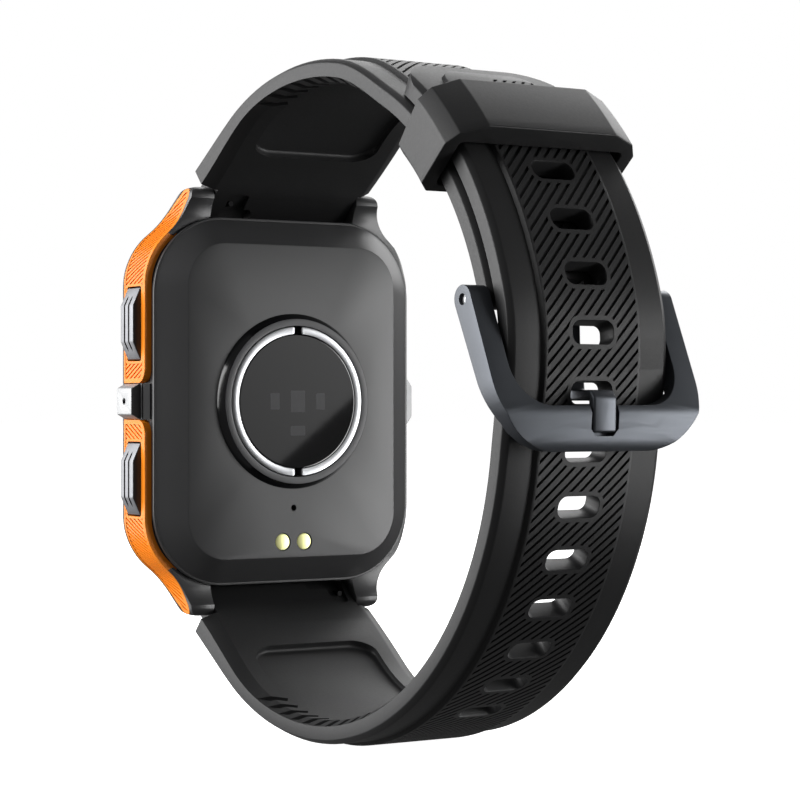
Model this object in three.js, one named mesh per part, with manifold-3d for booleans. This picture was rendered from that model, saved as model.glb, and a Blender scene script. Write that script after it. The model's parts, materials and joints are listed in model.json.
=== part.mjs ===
// A running watch with a heart-rate sensor, closed on its buckle as it would be on a wrist.
// Millimetres. +X points at 3 o'clock (the button side), +Y at the wrist, +Z at 12 o'clock.
// The origin is the middle of the sensor lens, the face that touches the skin.
import * as THREE from "three";
import { mergeVertices } from "three/addons/utils/BufferGeometryUtils.js";
import Module from "manifold-3d";

const wasm = await Module();
wasm.setup();

// ---- driving dimensions -------------------------------------------------------------------
const LUG_HALF_GAP = 11; // half of the 22 mm strap width between the lugs
const CASE_HALF_WIDTH = 20.5;
const CASE_END_Z = 24;
const LUG_TIP_Z = 28.2;
const FLANK_STRAIGHT_Z = 15;
const FLANK_RADIUS = 9;
const FLANK_TURN = THREE.MathUtils.degToRad(48);
const LUG_SWEEP_Z = 22.4; // where the flank starts to sweep back out along the lug
const LUG_RADIUS = 7;
const LUG_TURN = THREE.MathUtils.degToRad(5);
const PLATE_Y = -1.1; // flat of the back cover
const SEAM_Y = -4.1; // where the back cover meets the middle case
const LIP_Y = -3.6; // top of the back cover's upright wall
const CASE_BACK_Y = -4.4;
const BEZEL_BACK_Y = -11.9;
const BEZEL_FRONT_Y = -13.4;
const TRIM_FRONT_Y = -10.4;
const TRIM_THICKNESS = 1;
const LUG_EDGE = 0.3; // the lug stands this far out round the trim at its front and tip
const FIT = 0.1; // gap between pieces that lie against each other

const LENS_R = 8.85;
const ELECTRODE_R = [8.93, 9.93];
const SENSOR_BEZEL_R = [10, 10.95, 11.65];

const BUTTON_Z = 10.15;
const BUTTON_LENGTH = 9.4;
const BUTTON_Y = [-9.2, -5.6];
const BUTTON_TOP_X = 21.6;
const BUTTON_BACK_X = 19.2;
const BUTTON_MID_Y = (BUTTON_Y[0] + BUTTON_Y[1]) / 2;
const POCKET_X = 18.4; // floor of the button pockets
const PLATE_SPAN = [-9.9, -5.7]; // the side plates along Y
const MIC_Y = -7.8;

const BAND_CENTRE_Y = 20.9;
const BAND_R = 41.5; // outer edge of the band's side face on the wrist circle
const BEND_R = 33; // tighter bend above the lugs
const CIRCLE_TO_BEND = THREE.MathUtils.degToRad(80);
const BEND_TO_STRAIGHT = THREE.MathUtils.degToRad(122.5);
const STRAIGHT_LENGTH = 10.96;
const STRAP_INNER = -2.35; // strap section heights from the outer edge of its side face
const STRAP_EDGE_CHAMFER = [1.1, 0.65]; // across and through the strap, on its inner face
const STRAP_BORDER = 0.5;
const STRAP_PANEL = 1;
const STRAP_HALF_WIDTH = 11;
const SHOULDER_HALF_WIDTH = 13;
const PANEL_HALF_WIDTH = 6.6;
const CHANNEL_HALF_WIDTH = 8.5;
const CHANNEL_DEPTH = 0.8;
const HOLE_COUNT = 14;
const HOLE_STEP = THREE.MathUtils.degToRad(8.7);
const HOLE_USED = THREE.MathUtils.degToRad(1.3);
const HOLE_LENGTH = 5.6;
const HOLE_WIDTH = 2.4;
const TAIL_TIP = THREE.MathUtils.degToRad(64);

const BAR_Y = -7;
const BAR_Z = 26.2;
const BAR_R = 0.75;
const PIN_ANGLE = THREE.MathUtils.degToRad(16.26);
const PIN_PATH_R = 40;
const PIN_R = 0.6;
const PIN_Y = BAND_CENTRE_Y + PIN_PATH_R * Math.cos(PIN_ANGLE);
const PIN_Z = PIN_PATH_R * Math.sin(PIN_ANGLE);
const BUCKLE_HALF_WIDTH = 14.1;
const BUCKLE_LEG = 2;
const KEEPER_ANGLES = [39, 51].map(THREE.MathUtils.degToRad);

// ---- materials ----------------------------------------------------------------------------
function finish(color, roughness, metalness) {
  return () => new THREE.MeshStandardMaterial({ color, roughness, metalness });
}
const casePlastic = finish(0x3d3d3f, 0.55, 0);
const orangePlastic = finish(0xf5821f, 0.4, 0);
const blackGloss = finish(0x0c0c0e, 0.15, 0);
const silicone = finish(0x262626, 0.65, 0);
const gunmetal = finish(0x4a4c50, 0.32, 1);
const silver = finish(0xc4c6c8, 0.28, 1);
const gold = finish(0xd8c27a, 0.3, 1);
const boardGreen = finish(0x1f4d33, 0.5, 0);
const sealRubber = finish(0x8a8c8e, 0.7, 0);
const cellFoil = finish(0x9fa3a8, 0.4, 0.6);

// ---- booleans and placing -----------------------------------------------------------------
function solid(geometry) {
  const bare = geometry.index ? geometry.toNonIndexed() : geometry.clone();
  bare.deleteAttribute("normal");
  bare.deleteAttribute("uv");
  const merged = mergeVertices(bare, 1e-4);
  const mesh = new wasm.Mesh({
    numProp: 3,
    vertProperties: merged.attributes.position.array,
    triVerts: new Uint32Array(merged.index.array),
  });
  return new wasm.Manifold(mesh);
}

function geometryOf(manifold) {
  const mesh = manifold.getMesh();
  const geometry = new THREE.BufferGeometry();
  geometry.setAttribute("position", new THREE.BufferAttribute(mesh.vertProperties, 3));
  geometry.setIndex(new THREE.BufferAttribute(mesh.triVerts, 1));
  geometry.computeVertexNormals();
  return geometry;
}

const join = (first, ...rest) => rest.reduce((sum, piece) => sum.add(piece), first);
const cut = (first, ...rest) => rest.reduce((left, tool) => left.subtract(tool), first);

const watch = new THREE.Group();
function piece(name, body, material) {
  const mesh = new THREE.Mesh(geometryOf(body), material());
  mesh.name = name;
  watch.add(mesh);
}

// A shape drawn in (X, Z), from y0 to y1.
function plate(shape, y0, y1, segments = 4) {
  const settings = { depth: y1 - y0, bevelEnabled: false, curveSegments: segments };
  const geometry = new THREE.ExtrudeGeometry(shape, settings);
  geometry.rotateX(Math.PI / 2).translate(0, y1, 0);
  return solid(geometry);
}

// A shape drawn in (Y, Z), from x0 to x1.
function sidePlate(shape, x0, x1, segments = 6) {
  const settings = { depth: x1 - x0, bevelEnabled: false, curveSegments: segments };
  const geometry = new THREE.ExtrudeGeometry(shape, settings);
  const [x, y, z] = [new THREE.Vector3(1, 0, 0), new THREE.Vector3(0, 1, 0), new THREE.Vector3(0, 0, 1)];
  geometry.applyMatrix4(new THREE.Matrix4().makeBasis(y, z, x)).translate(x0, 0, 0);
  return solid(geometry);
}

function box(x, y, z) {
  const geometry = new THREE.BoxGeometry(x[1] - x[0], y[1] - y[0], z[1] - z[0]);
  geometry.translate((x[0] + x[1]) / 2, (y[0] + y[1]) / 2, (z[0] + z[1]) / 2);
  return solid(geometry);
}

// A rod along Y or X, whose second radius makes it a cone.
function rodY(r, y0, y1, x = 0, z = 0, sides = 28, rEnd = r) {
  const geometry = new THREE.CylinderGeometry(rEnd, r, y1 - y0, sides);
  return solid(geometry.translate(x, (y0 + y1) / 2, z));
}
function rodX(r, x0, x1, y, z, sides = 14) {
  const geometry = new THREE.CylinderGeometry(r, r, x1 - x0, sides);
  return solid(geometry.rotateZ(-Math.PI / 2).translate((x0 + x1) / 2, y, z));
}

const polygon = (points) => new THREE.Shape(points.map(([u, v]) => new THREE.Vector2(u, v)));

function roundedRect(halfU, halfV, radius, centreU = 0, centreV = 0) {
  const shape = new THREE.Shape();
  const corners = [[1, 1, 0], [-1, 1, 1], [-1, -1, 2], [1, -1, 3]];
  for (const [signU, signV, quarter] of corners) {
    const u = centreU + signU * (halfU - radius);
    const v = centreV + signV * (halfV - radius);
    const from = (quarter * Math.PI) / 2;
    shape.absarc(u, v, radius, from, from + Math.PI / 2, false);
  }
  return shape;
}

// ---- case outline -------------------------------------------------------------------------
// The flank of one quarter at a height Z: straight, turned in round the corner, then swept back
// along the lug. The turn is the angle of its outward direction above X.
function flankAt(z) {
  if (z <= FLANK_STRAIGHT_Z) return { x: CASE_HALF_WIDTH, turn: 0 };
  const cornerZ = FLANK_STRAIGHT_Z + FLANK_RADIUS * Math.sin(FLANK_TURN);
  const cornerX = CASE_HALF_WIDTH - FLANK_RADIUS * (1 - Math.cos(FLANK_TURN));
  if (z <= cornerZ) {
    const turn = Math.asin((z - FLANK_STRAIGHT_Z) / FLANK_RADIUS);
    return { x: CASE_HALF_WIDTH - FLANK_RADIUS * (1 - Math.cos(turn)), turn };
  }
  const slope = Math.tan(FLANK_TURN);
  if (z <= LUG_SWEEP_Z) return { x: cornerX - (z - cornerZ) * slope, turn: FLANK_TURN };
  const sweepX = cornerX - (LUG_SWEEP_Z - cornerZ) * slope;
  const sine = Math.sin(FLANK_TURN) - (z - LUG_SWEEP_Z) / LUG_RADIUS;
  const turn = Math.asin(Math.max(sine, Math.sin(LUG_TURN)));
  return { x: sweepX - LUG_RADIUS * (Math.cos(turn) - Math.cos(FLANK_TURN)), turn };
}

// The flank from 3 o'clock to the lug tip, moved in by an inset.
function flank(inset, fromZ = 0) {
  const points = [[CASE_HALF_WIDTH - inset, fromZ]];
  for (const z of [15, 16.8, 18.5, 20.2, 21.7, 22.4, 23.6, 25, 26.4, LUG_TIP_Z - 1.1]) {
    const { x, turn } = flankAt(z);
    points.push([x - inset * Math.cos(turn), z - inset * Math.sin(turn)]);
  }
  points.push([14 - inset * 0.9, LUG_TIP_Z - 0.3 - inset * 0.2]);
  points.push([13.4 - inset * 0.7, LUG_TIP_Z - inset * 0.2]);
  return points;
}

function caseOutline() {
  const quarter = [...flank(0), [LUG_HALF_GAP, LUG_TIP_Z], [LUG_HALF_GAP, CASE_END_Z]];
  const half = [...quarter, ...quarter.map(([x, z]) => [-x, z]).reverse()];
  const lower = half.slice(1, -1).map(([x, z]) => [x, -z]).reverse();
  return polygon([...half, ...lower]);
}

// Side view of one end's trim, which curves towards the wrist at the lug. It can be made larger
// along its back edge, and round its front and tip.
function lugSide(back, front) {
  return polygon([
    [TRIM_FRONT_Y - front, 0],
    [CASE_BACK_Y + back, 0],
    [CASE_BACK_Y + back, 22],
    [-3.8 + back, 24],
    [-3.3 + back, 25.3],
    [-2.95 + back, 26.7],
    [-3.2 + back, 27.2 + front],
    [-3.8, 27.6 + front],
    [-4.9, 27.9 + front],
    [-5.9 - front, 27.7 + front],
    [-6.8 - front, 27.1 + front],
    [-8.9 - front, 25 + front / 2],
    [-10 - front, 22.9],
    [-10.2 - front, 20.7],
    [TRIM_FRONT_Y - front, 17],
  ]);
}

// One quarter of the trim as a curved strip of even thickness, for side and end signs of 1 or -1.
function trimBody(side, end, fromZ, thickness, grow) {
  const strip = [...flank(-grow, fromZ - grow), ...flank(thickness + grow, fromZ - grow).reverse()];
  const body = plate(polygon(strip), TRIM_FRONT_Y - 1, -2);
  const trimmed = body.intersect(sidePlate(lugSide(grow, grow), 0, CASE_HALF_WIDTH + 2));
  const mirror = new THREE.Matrix4().makeScale(side, 1, end);
  const geometry = geometryOf(trimmed).applyMatrix4(mirror);
  if (side * end < 0) flip(geometry);
  return solid(geometry);
}

function flip(geometry) {
  const index = geometry.index.array;
  for (let i = 0; i < index.length; i += 3) {
    [index[i + 1], index[i + 2]] = [index[i + 2], index[i + 1]];
  }
}

// ---- band line ----------------------------------------------------------------------------
// The outer edge of the band's side face in (Y, Z) at a length s from the clasp's middle, and
// the direction away from the wrist there. Negative s runs down to the 6 o'clock lugs.
const CIRCLE_LENGTH = BAND_R * CIRCLE_TO_BEND;
const BEND_LENGTH = BEND_R * (BEND_TO_STRAIGHT - CIRCLE_TO_BEND);
const SHOULDER_S = CIRCLE_LENGTH + BEND_LENGTH + STRAIGHT_LENGTH;
const BEND_CENTRE = [
  BAND_CENTRE_Y + (BAND_R - BEND_R) * Math.cos(CIRCLE_TO_BEND),
  (BAND_R - BEND_R) * Math.sin(CIRCLE_TO_BEND),
];

function bandLine(s) {
  const length = Math.abs(s);
  const side = s < 0 ? -1 : 1;
  let angle = length / BAND_R;
  let [y, z] = [BAND_CENTRE_Y + BAND_R * Math.cos(angle), BAND_R * Math.sin(angle)];
  if (length > CIRCLE_LENGTH) {
    const bend = CIRCLE_TO_BEND + (length - CIRCLE_LENGTH) / BEND_R;
    angle = Math.min(bend, BEND_TO_STRAIGHT);
    const straight = Math.max(0, length - CIRCLE_LENGTH - BEND_LENGTH);
    y = BEND_CENTRE[0] + BEND_R * Math.cos(angle) - straight * Math.sin(angle);
    z = BEND_CENTRE[1] + BEND_R * Math.sin(angle) + straight * Math.cos(angle);
  }
  return { y, z: z * side, outY: Math.cos(angle), outZ: Math.sin(angle) * side };
}

// A solid whose section, a list of (X, height) points, is carried along the band line.
function bandLoft(from, to, steps, section) {
  const points = [];
  const faces = [];
  const count = section(from).length;
  for (let i = 0; i <= steps; i++) {
    const s = from + ((to - from) * i) / steps;
    const at = bandLine(s);
    for (const [x, height] of section(s)) {
      points.push(x, at.y + at.outY * height, at.z + at.outZ * height);
    }
  }
  for (let i = 0; i < steps; i++) {
    for (let j = 0; j < count; j++) {
      const a = i * count + j;
      const b = i * count + ((j + 1) % count);
      faces.push(a, b, b + count, a, b + count, a + count);
    }
  }
  const outline = section(from).map(([x, height]) => new THREE.Vector2(x, height));
  const far = steps * count;
  for (const [a, b, c] of THREE.ShapeUtils.triangulateShape(outline, [])) {
    faces.push(a, c, b);
    faces.push(far + a, far + b, far + c);
  }
  const geometry = new THREE.BufferGeometry();
  geometry.setAttribute("position", new THREE.Float32BufferAttribute(points, 3));
  geometry.setIndex(faces);
  const body = solid(geometry);
  if (body.volume() > 0) return body;
  flip(geometry);
  return solid(geometry);
}

const ramp = (x, from, to) => THREE.MathUtils.smoothstep(x, from, to);
const arcLength = (degrees) => BAND_R * THREE.MathUtils.degToRad(degrees);

// The upper strap lies 1 mm inside the band line under the tail, and the tail 2 mm outside it.
const upperLift = (s) => -1 + ramp(s, arcLength(64), arcLength(80));
const lowerLift = (s) => 2 * ramp(s, arcLength(-8), arcLength(16));

const strapHalfWidth = (s) =>
  STRAP_HALF_WIDTH + (SHOULDER_HALF_WIDTH - STRAP_HALF_WIDTH) * ramp(Math.abs(s), 50, 86);
const strapInner = (s) => STRAP_INNER - 1.05 * ramp(Math.abs(s), 76, SHOULDER_S);

function strapSection(s, lift) {
  const half = strapHalfWidth(s);
  const right = [
    [half - STRAP_EDGE_CHAMFER[0], lift + strapInner(s)],
    [half, lift + strapInner(s) + STRAP_EDGE_CHAMFER[1]],
    [half, lift],
    [half - 0.8, lift + STRAP_BORDER],
    [PANEL_HALF_WIDTH + 0.8, lift + STRAP_BORDER],
    [PANEL_HALF_WIDTH, lift + STRAP_PANEL],
  ];
  return [...right, ...right.map(([x, height]) => [-x, height]).reverse()];
}

function channelSection(s, lift) {
  const floor = lift + strapInner(s) + CHANNEL_DEPTH;
  const open = lift + strapInner(s) - 2;
  return [[CHANNEL_HALF_WIDTH, open], [CHANNEL_HALF_WIDTH, floor], [-CHANNEL_HALF_WIDTH, floor], [-CHANNEL_HALF_WIDTH, open]];
}

// A slot through the band at an angle on the wrist circle.
function bandSlot(angle, halfX, halfAlong) {
  const shape = roundedRect(halfX, halfAlong, halfAlong - 0.01);
  const geometry = new THREE.ExtrudeGeometry(shape, { depth: 12, bevelEnabled: false, curveSegments: 3 });
  const out = new THREE.Vector3(0, Math.cos(angle), Math.sin(angle));
  const along = new THREE.Vector3(0, -Math.sin(angle), Math.cos(angle));
  const across = along.clone().cross(out);
  geometry.applyMatrix4(new THREE.Matrix4().makeBasis(across, along, out));
  geometry.translate(0, BAND_CENTRE_Y + (BAND_R - 6) * out.y, (BAND_R - 6) * out.z);
  return solid(geometry);
}

// The strap's end between the lugs: a tongue that runs into a knuckle on the spring bar.
function strapEnd(end) {
  const root = bandLine(SHOULDER_S);
  const inner = strapInner(SHOULDER_S);
  const direction = [root.outZ, -root.outY]; // from the lug towards the wrist
  const innerCorner = [root.y + root.outY * inner + direction[0] * 0.9, root.z + root.outZ * inner + direction[1] * 0.9];
  const wrist = [innerCorner[0] + direction[0] * 4, innerCorner[1] + direction[1] * 4];
  const outer = [root.y + direction[0] * 4, root.z + direction[1] * 4];
  const profile = polygon([
    [BAR_Y - 1.06, BAR_Z + 1.68],
    [BAR_Y + 1.5, BAR_Z - 1.25],
    innerCorner,
    wrist,
    outer,
    [root.y, root.z],
  ]);
  const half = LUG_HALF_GAP - 0.2;
  const tongue = sidePlate(profile, -half, half);
  const body = join(tongue, rodX(1.95, -half, half, BAR_Y, BAR_Z, 20));
  return end > 0 ? body : turned(body);
}

// The same piece at the 6 o'clock end: half a turn about Y keeps each face pointing outwards.
function turned(body) {
  return solid(geometryOf(body).rotateY(Math.PI));
}

// Cut-outs in a strap end: the spring bar's bore and the L-shaped finger notch of its lever.
function strapEndCuts(leverX) {
  const bore = rodX(BAR_R + FIT, -12, 12, BAR_Y, BAR_Z, 14);
  const sign = Math.sign(leverX);
  const lever = Math.abs(leverX);
  const span = (a, b) => (sign > 0 ? [a, b] : [-b, -a]);
  const wide = box(span(lever - 3.6, lever + 1.2), [BAR_Y - 0.2, 6], [22, BAR_Z + 0.3]);
  const leg = box(span(lever - 2.2, lever + 0.7), [BAR_Y - 0.2, 6], [BAR_Z, BAR_Z + 1.9]);
  return [bore, wide, leg];
}

// ---- straps -------------------------------------------------------------------------------
const PIN_S = BAND_R * PIN_ANGLE;
const CHANNEL_END_S = SHOULDER_S - 9;
const UPPER_LEVER_X = 7.7;
const LOWER_LEVER_X = 9.2;

function upperStrap() {
  const band = bandLoft(PIN_S, SHOULDER_S, 22, (s) => strapSection(s, upperLift(s)));
  const knuckle = rodX(1.1, -STRAP_HALF_WIDTH, STRAP_HALF_WIDTH, PIN_Y, PIN_Z, 16);
  const channel = bandLoft(PIN_S + 5, CHANNEL_END_S, 16, (s) => channelSection(s, upperLift(s)));
  const pinBore = rodX(PIN_R + 0.05, -12, 12, PIN_Y, PIN_Z, 12);
  const tongueGap = box([-1.9, 1.9], [PIN_Y - 4, PIN_Y + 3], [PIN_Z - 4, PIN_Z + 2.2]);
  return cut(join(band, knuckle, strapEnd(1)), channel, pinBore, tongueGap, ...strapEndCuts(UPPER_LEVER_X));
}

function lowerStrap() {
  const tip = arcLength(THREE.MathUtils.radToDeg(TAIL_TIP));
  const band = bandLoft(-SHOULDER_S, tip, 36, (s) => strapSection(s, lowerLift(s)));
  const channel = bandLoft(-CHANNEL_END_S, tip + 1, 32, (s) => channelSection(s, lowerLift(s)));
  const slots = [];
  for (let k = 0; k < HOLE_COUNT; k++) {
    slots.push(bandSlot(HOLE_USED + HOLE_STEP * (k - 7), HOLE_LENGTH / 2, HOLE_WIDTH / 2));
  }
  const cuts = strapEndCuts(LOWER_LEVER_X).map(turned);
  const corners = [1, -1].map((side) => tailCorner(side));
  return cut(join(band, strapEnd(-1)), channel, ...slots, ...cuts, ...corners);
}

// What rounds one corner of the tail's tip.
function tailCorner(side) {
  const shape = new THREE.Shape();
  const radius = 6;
  shape.moveTo(side * 12, 1);
  shape.lineTo(side * (STRAP_HALF_WIDTH - radius), 1);
  shape.lineTo(side * (STRAP_HALF_WIDTH - radius), 0);
  for (let i = 1; i <= 5; i++) {
    const turn = (Math.PI / 2) * (i / 5);
    const x = STRAP_HALF_WIDTH - radius + radius * Math.sin(turn);
    shape.lineTo(side * x, -radius + radius * Math.cos(turn));
  }
  shape.lineTo(side * 12, -radius);
  const geometry = new THREE.ExtrudeGeometry(shape, { depth: 12, bevelEnabled: false });
  const out = new THREE.Vector3(0, Math.cos(TAIL_TIP), Math.sin(TAIL_TIP));
  const along = new THREE.Vector3(0, -Math.sin(TAIL_TIP), Math.cos(TAIL_TIP));
  const across = along.clone().cross(out);
  geometry.applyMatrix4(new THREE.Matrix4().makeBasis(across, along, out));
  geometry.translate(0, BAND_CENTRE_Y + (BAND_R - 4) * out.y, (BAND_R - 4) * out.z);
  return solid(geometry);
}

function keeper() {
  const [from, to] = KEEPER_ANGLES.map((angle) => angle * BAND_R);
  const outer = bandLoft(from, to, 4, () => [
    [12.2, -4.9], [13.4, -3.7], [13.4, 2.8], [12.2, 4.6], [8.9, 6.1],
    [-8.9, 6.1], [-12.2, 4.6], [-13.4, 2.8], [-13.4, -3.7], [-12.2, -4.9],
  ]);
  const inner = bandLoft(from - 1, to + 1, 4, () => [
    [11.4, -3.5], [11.4, 3.25], [-11.4, 3.25], [-11.4, -3.5],
  ]);
  return cut(outer, inner);
}

// ---- buckle -------------------------------------------------------------------------------
const BAR_INNER = [64.35, -0.4]; // wrist-side upper corner of the buckle's cross bar, in (Y, Z)
const BAR_HEIGHT = 4.9;
const BAR_THICKNESS = 2.3;

function buckleFrame() {
  const side = new THREE.Shape();
  const [y, z] = BAR_INNER;
  side.absarc(PIN_Y, PIN_Z, 1.6, 0.45, Math.PI + 0.45, false);
  side.lineTo(y, z - 2);
  side.lineTo(y - 0.35, z - BAR_HEIGHT);
  side.lineTo(y - 0.35 + BAR_THICKNESS - 0.5, z - BAR_HEIGHT - 0.2);
  side.lineTo(y + BAR_THICKNESS - 0.3, z - BAR_HEIGHT + 0.8);
  side.lineTo(y + BAR_THICKNESS, z - 0.8);
  side.lineTo(y + BAR_THICKNESS - 0.6, z + 0.4);
  const whole = sidePlate(side, -BUCKLE_HALF_WIDTH, BUCKLE_HALF_WIDTH, 8);
  const half = BUCKLE_HALF_WIDTH - BUCKLE_LEG;
  const window = box([-half, half], [50, 75], [z, 20]);
  const tailSpace = box([-half, half], [50, y], [z - 8, z + 1]);
  const seat = box([-1.8, 1.8], [y + BAR_THICKNESS - 1.3, 75], [z - 3.3, 5]);
  const bore = rodX(PIN_R + 0.06, -15, 15, PIN_Y, PIN_Z, 12);
  return cut(whole, window, tailSpace, seat, bore);
}

function buckleTongue() {
  const half = 1.45;
  const [y, z] = BAR_INNER;
  const strip = polygon([
    [PIN_Y - 1.2, PIN_Z],
    [PIN_Y - 0.35, PIN_Z - 4.5],
    [PIN_Y + 0.45, PIN_Z - 10.4],
    [PIN_Y + 1.3, z + 0.5],
    [y + 1.15, z + 0.5],
    [y + 1.25, z - 3],
    [y + BAR_THICKNESS - 0.1, z - 3],
    [y + BAR_THICKNESS, z + 0.9],
    [y + BAR_THICKNESS - 0.7, z + 1.7],
    [PIN_Y + 1.6, z + 1.7],
    [PIN_Y + 0.75, PIN_Z - 4.5],
    [PIN_Y + 0.6, PIN_Z],
  ]);
  const ring = rodX(1.25, -half, half, PIN_Y, PIN_Z, 14);
  const bore = rodX(PIN_R + 0.06, -3, 3, PIN_Y, PIN_Z, 12);
  return cut(join(sidePlate(strip, -half, half), ring), bore);
}

// ---- case pieces --------------------------------------------------------------------------
const TRIMS = [
  ["trim_right_upper", 1, 1, 2.4],
  ["trim_right_lower", 1, -1, 2.4],
  ["trim_left_upper", -1, 1, 3.7],
  ["trim_left_lower", -1, -1, 3.7],
];

// A body between two outlines of equal count at two heights along Y.
function loft(low, high, y0, y1) {
  const [below, above] = [low, high].map((shape) => shape.getPoints(8));
  const count = below.length;
  const points = [...below.flatMap((p) => [p.x, y0, p.y]), ...above.flatMap((p) => [p.x, y1, p.y])];
  const faces = [];
  for (let i = 0; i < count; i++) {
    const j = (i + 1) % count;
    faces.push(i, j, j + count, i, j + count, i + count);
    if (i > 0 && j > 0) faces.push(0, j, i, count, count + i, count + j);
  }
  const geometry = new THREE.BufferGeometry();
  geometry.setAttribute("position", new THREE.Float32BufferAttribute(points, 3));
  geometry.setIndex(faces);
  const body = solid(geometry);
  if (body.volume() > 0) return body;
  flip(geometry);
  return solid(geometry);
}

function midCase() {
  const [front, middle] = [roundedRect(19.4, CASE_END_Z, 8.6), roundedRect(20.3, CASE_END_Z, 9.4)];
  const core = join(
    loft(front, middle, BEZEL_BACK_Y, TRIM_FRONT_Y),
    plate(middle, TRIM_FRONT_Y - 0.01, CASE_BACK_Y),
  );
  const lugs = [1, -1].map((end) => {
    const upper = plate(caseOutline(), -12, -2).intersect(sidePlate(lugSide(0, LUG_EDGE), -22, 22));
    return end > 0 ? upper : turned(upper);
  });
  const gap = [-LUG_HALF_GAP, LUG_HALF_GAP];
  const strapRoom = [box(gap, [-12, 0], [CASE_END_Z, 30]), box(gap, [-12, 0], [-30, -CASE_END_Z])];
  const coverRoom = plate(roundedRect(19.65, 24.45, 10.4), CASE_BACK_Y, 0);
  const shell = cut(join(core, ...lugs), ...strapRoom, coverRoom);
  const cavity = plate(roundedRect(16.3, 21.6, 6), BEZEL_BACK_Y + 1.2, 0);
  const screenWindow = plate(roundedRect(13, 16.5, 3), -20, 0);
  const cuts = [cavity, screenWindow];
  for (const [, side, end, fromZ] of TRIMS) {
    cuts.push(trimBody(side, end, fromZ, TRIM_THICKNESS + 0.02, FIT));
  }
  for (const end of [1, -1]) {
    const [low, high] = [end * BUTTON_Z - BUTTON_LENGTH / 2 - 0.3, end * BUTTON_Z + BUTTON_LENGTH / 2 + 0.3];
    cuts.push(box([POCKET_X, 25], [BUTTON_Y[0] - 0.3, BUTTON_Y[1] + 0.3], [low, high]));
    cuts.push(rodX(0.88, 15, 20, BUTTON_MID_Y, end * BUTTON_Z, 14));
    cuts.push(rodX(1.65, POCKET_X - 1.2, 20, BUTTON_MID_Y, end * BUTTON_Z, 14));
    cuts.push(rodX(0.5, -12.2, 12.2, BAR_Y, end * BAR_Z, 10));
  }
  const plateRoom = [PLATE_SPAN[0] - 0.2, PLATE_SPAN[1] + 0.2];
  cuts.push(box([CASE_HALF_WIDTH - 0.8, 25], plateRoom, [-2.5, 2.5]));
  cuts.push(rodX(0.45, 15, 25, MIC_Y, 0, 12));
  cuts.push(box([-25, -CASE_HALF_WIDTH + 0.8], plateRoom, [-3.8, 3.8]));
  return cut(shell, ...cuts);
}

function frontBezel() {
  const front = roundedRect(18.3, 23, 7.8);
  const back = roundedRect(19.4, CASE_END_Z, 8.6);
  const body = loft(front, back, BEZEL_FRONT_Y, BEZEL_BACK_Y - 0.02);
  return cut(body, plate(roundedRect(13.6, 17.1, 3), -20, 0));
}

function trims() {
  for (const [name, side, end, fromZ] of TRIMS) {
    let body = trimBody(side, end, fromZ, TRIM_THICKNESS, 0);
    if (side > 0) {
      const [low, high] = [end * BUTTON_Z - BUTTON_LENGTH / 2 - 0.25, end * BUTTON_Z + BUTTON_LENGTH / 2 + 0.25];
      body = cut(body, box([15, 25], [BUTTON_Y[0] - 0.25, BUTTON_Y[1] + 0.25], [low, high]));
    }
    piece(name, body, orangePlastic);
  }
}

function buttons() {
  for (const [label, end] of [["upper", 1], ["lower", -1]]) {
    const z = end * BUTTON_Z;
    const half = BUTTON_LENGTH / 2;
    const crest = polygon([
      [BUTTON_BACK_X, -half], [BUTTON_TOP_X - 1.1, -half], [BUTTON_TOP_X, -half / 2],
      [BUTTON_TOP_X, half / 2], [BUTTON_TOP_X - 1.1, half], [BUTTON_BACK_X, half],
    ]);
    let cap = plate(crest, BUTTON_Y[0], BUTTON_Y[1]).translate([0, 0, z]);
    for (const y of [-8.05, -6.75]) {
      cap = cut(cap, box([BUTTON_TOP_X - 0.5, 25], [y - 0.15, y + 0.15], [z - 6, z + 6]));
    }
    const stem = rodX(0.8, 14.95, BUTTON_BACK_X + 0.5, BUTTON_MID_Y, z, 14);
    const grooved = cut(join(cap, stem), cut(rodX(2, 15.9, 16.3, BUTTON_MID_Y, z, 14), rodX(0.6, 15, 17, BUTTON_MID_Y, z, 14)));
    piece("button_cap_" + label, grooved, gunmetal);
    const clip = cut(
      rodX(1.5, 15.95, 16.25, BUTTON_MID_Y, z, 16),
      rodX(0.64, 15, 17, BUTTON_MID_Y, z, 16),
      box([15, 17], [BUTTON_MID_Y, BUTTON_MID_Y + 3], [z - 0.5, z + 0.5]),
    );
    piece("button_clip_" + label, clip, silver);
    const ring = new THREE.TorusGeometry(1.22, 0.28, 5, 12).rotateY(Math.PI / 2);
    piece("button_o_ring_" + label, solid(ring.translate(POCKET_X - 0.6, BUTTON_MID_Y, z)), sealRubber);
    const housing = box([11.6, 14.1], [BUTTON_MID_Y - 1.5, BUTTON_MID_Y + 1.5], [z - 2, z + 2]);
    piece("tactile_switch_" + label, housing, blackGloss);
  }
}

function sidePlates() {
  const root = CASE_HALF_WIDTH - 0.7;
  const right = polygon([[root, -2.3], [20.7, -2.3], [21.8, -1.7], [21.8, 1.7], [20.7, 2.3], [root, 2.3]]);
  const mic = cut(plate(right, ...PLATE_SPAN), rodX(0.42, 15, 25, MIC_Y, 0, 14));
  piece("microphone_port_plate", mic, silver);
  const left = [[-root, 3.6], [-20.6, 3.6], [-21.8, 2.1], [-21.8, -2.1], [-20.6, -3.6], [-root, -3.6]];
  piece("left_side_plate", plate(polygon(left), ...PLATE_SPAN), silver);
}

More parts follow.
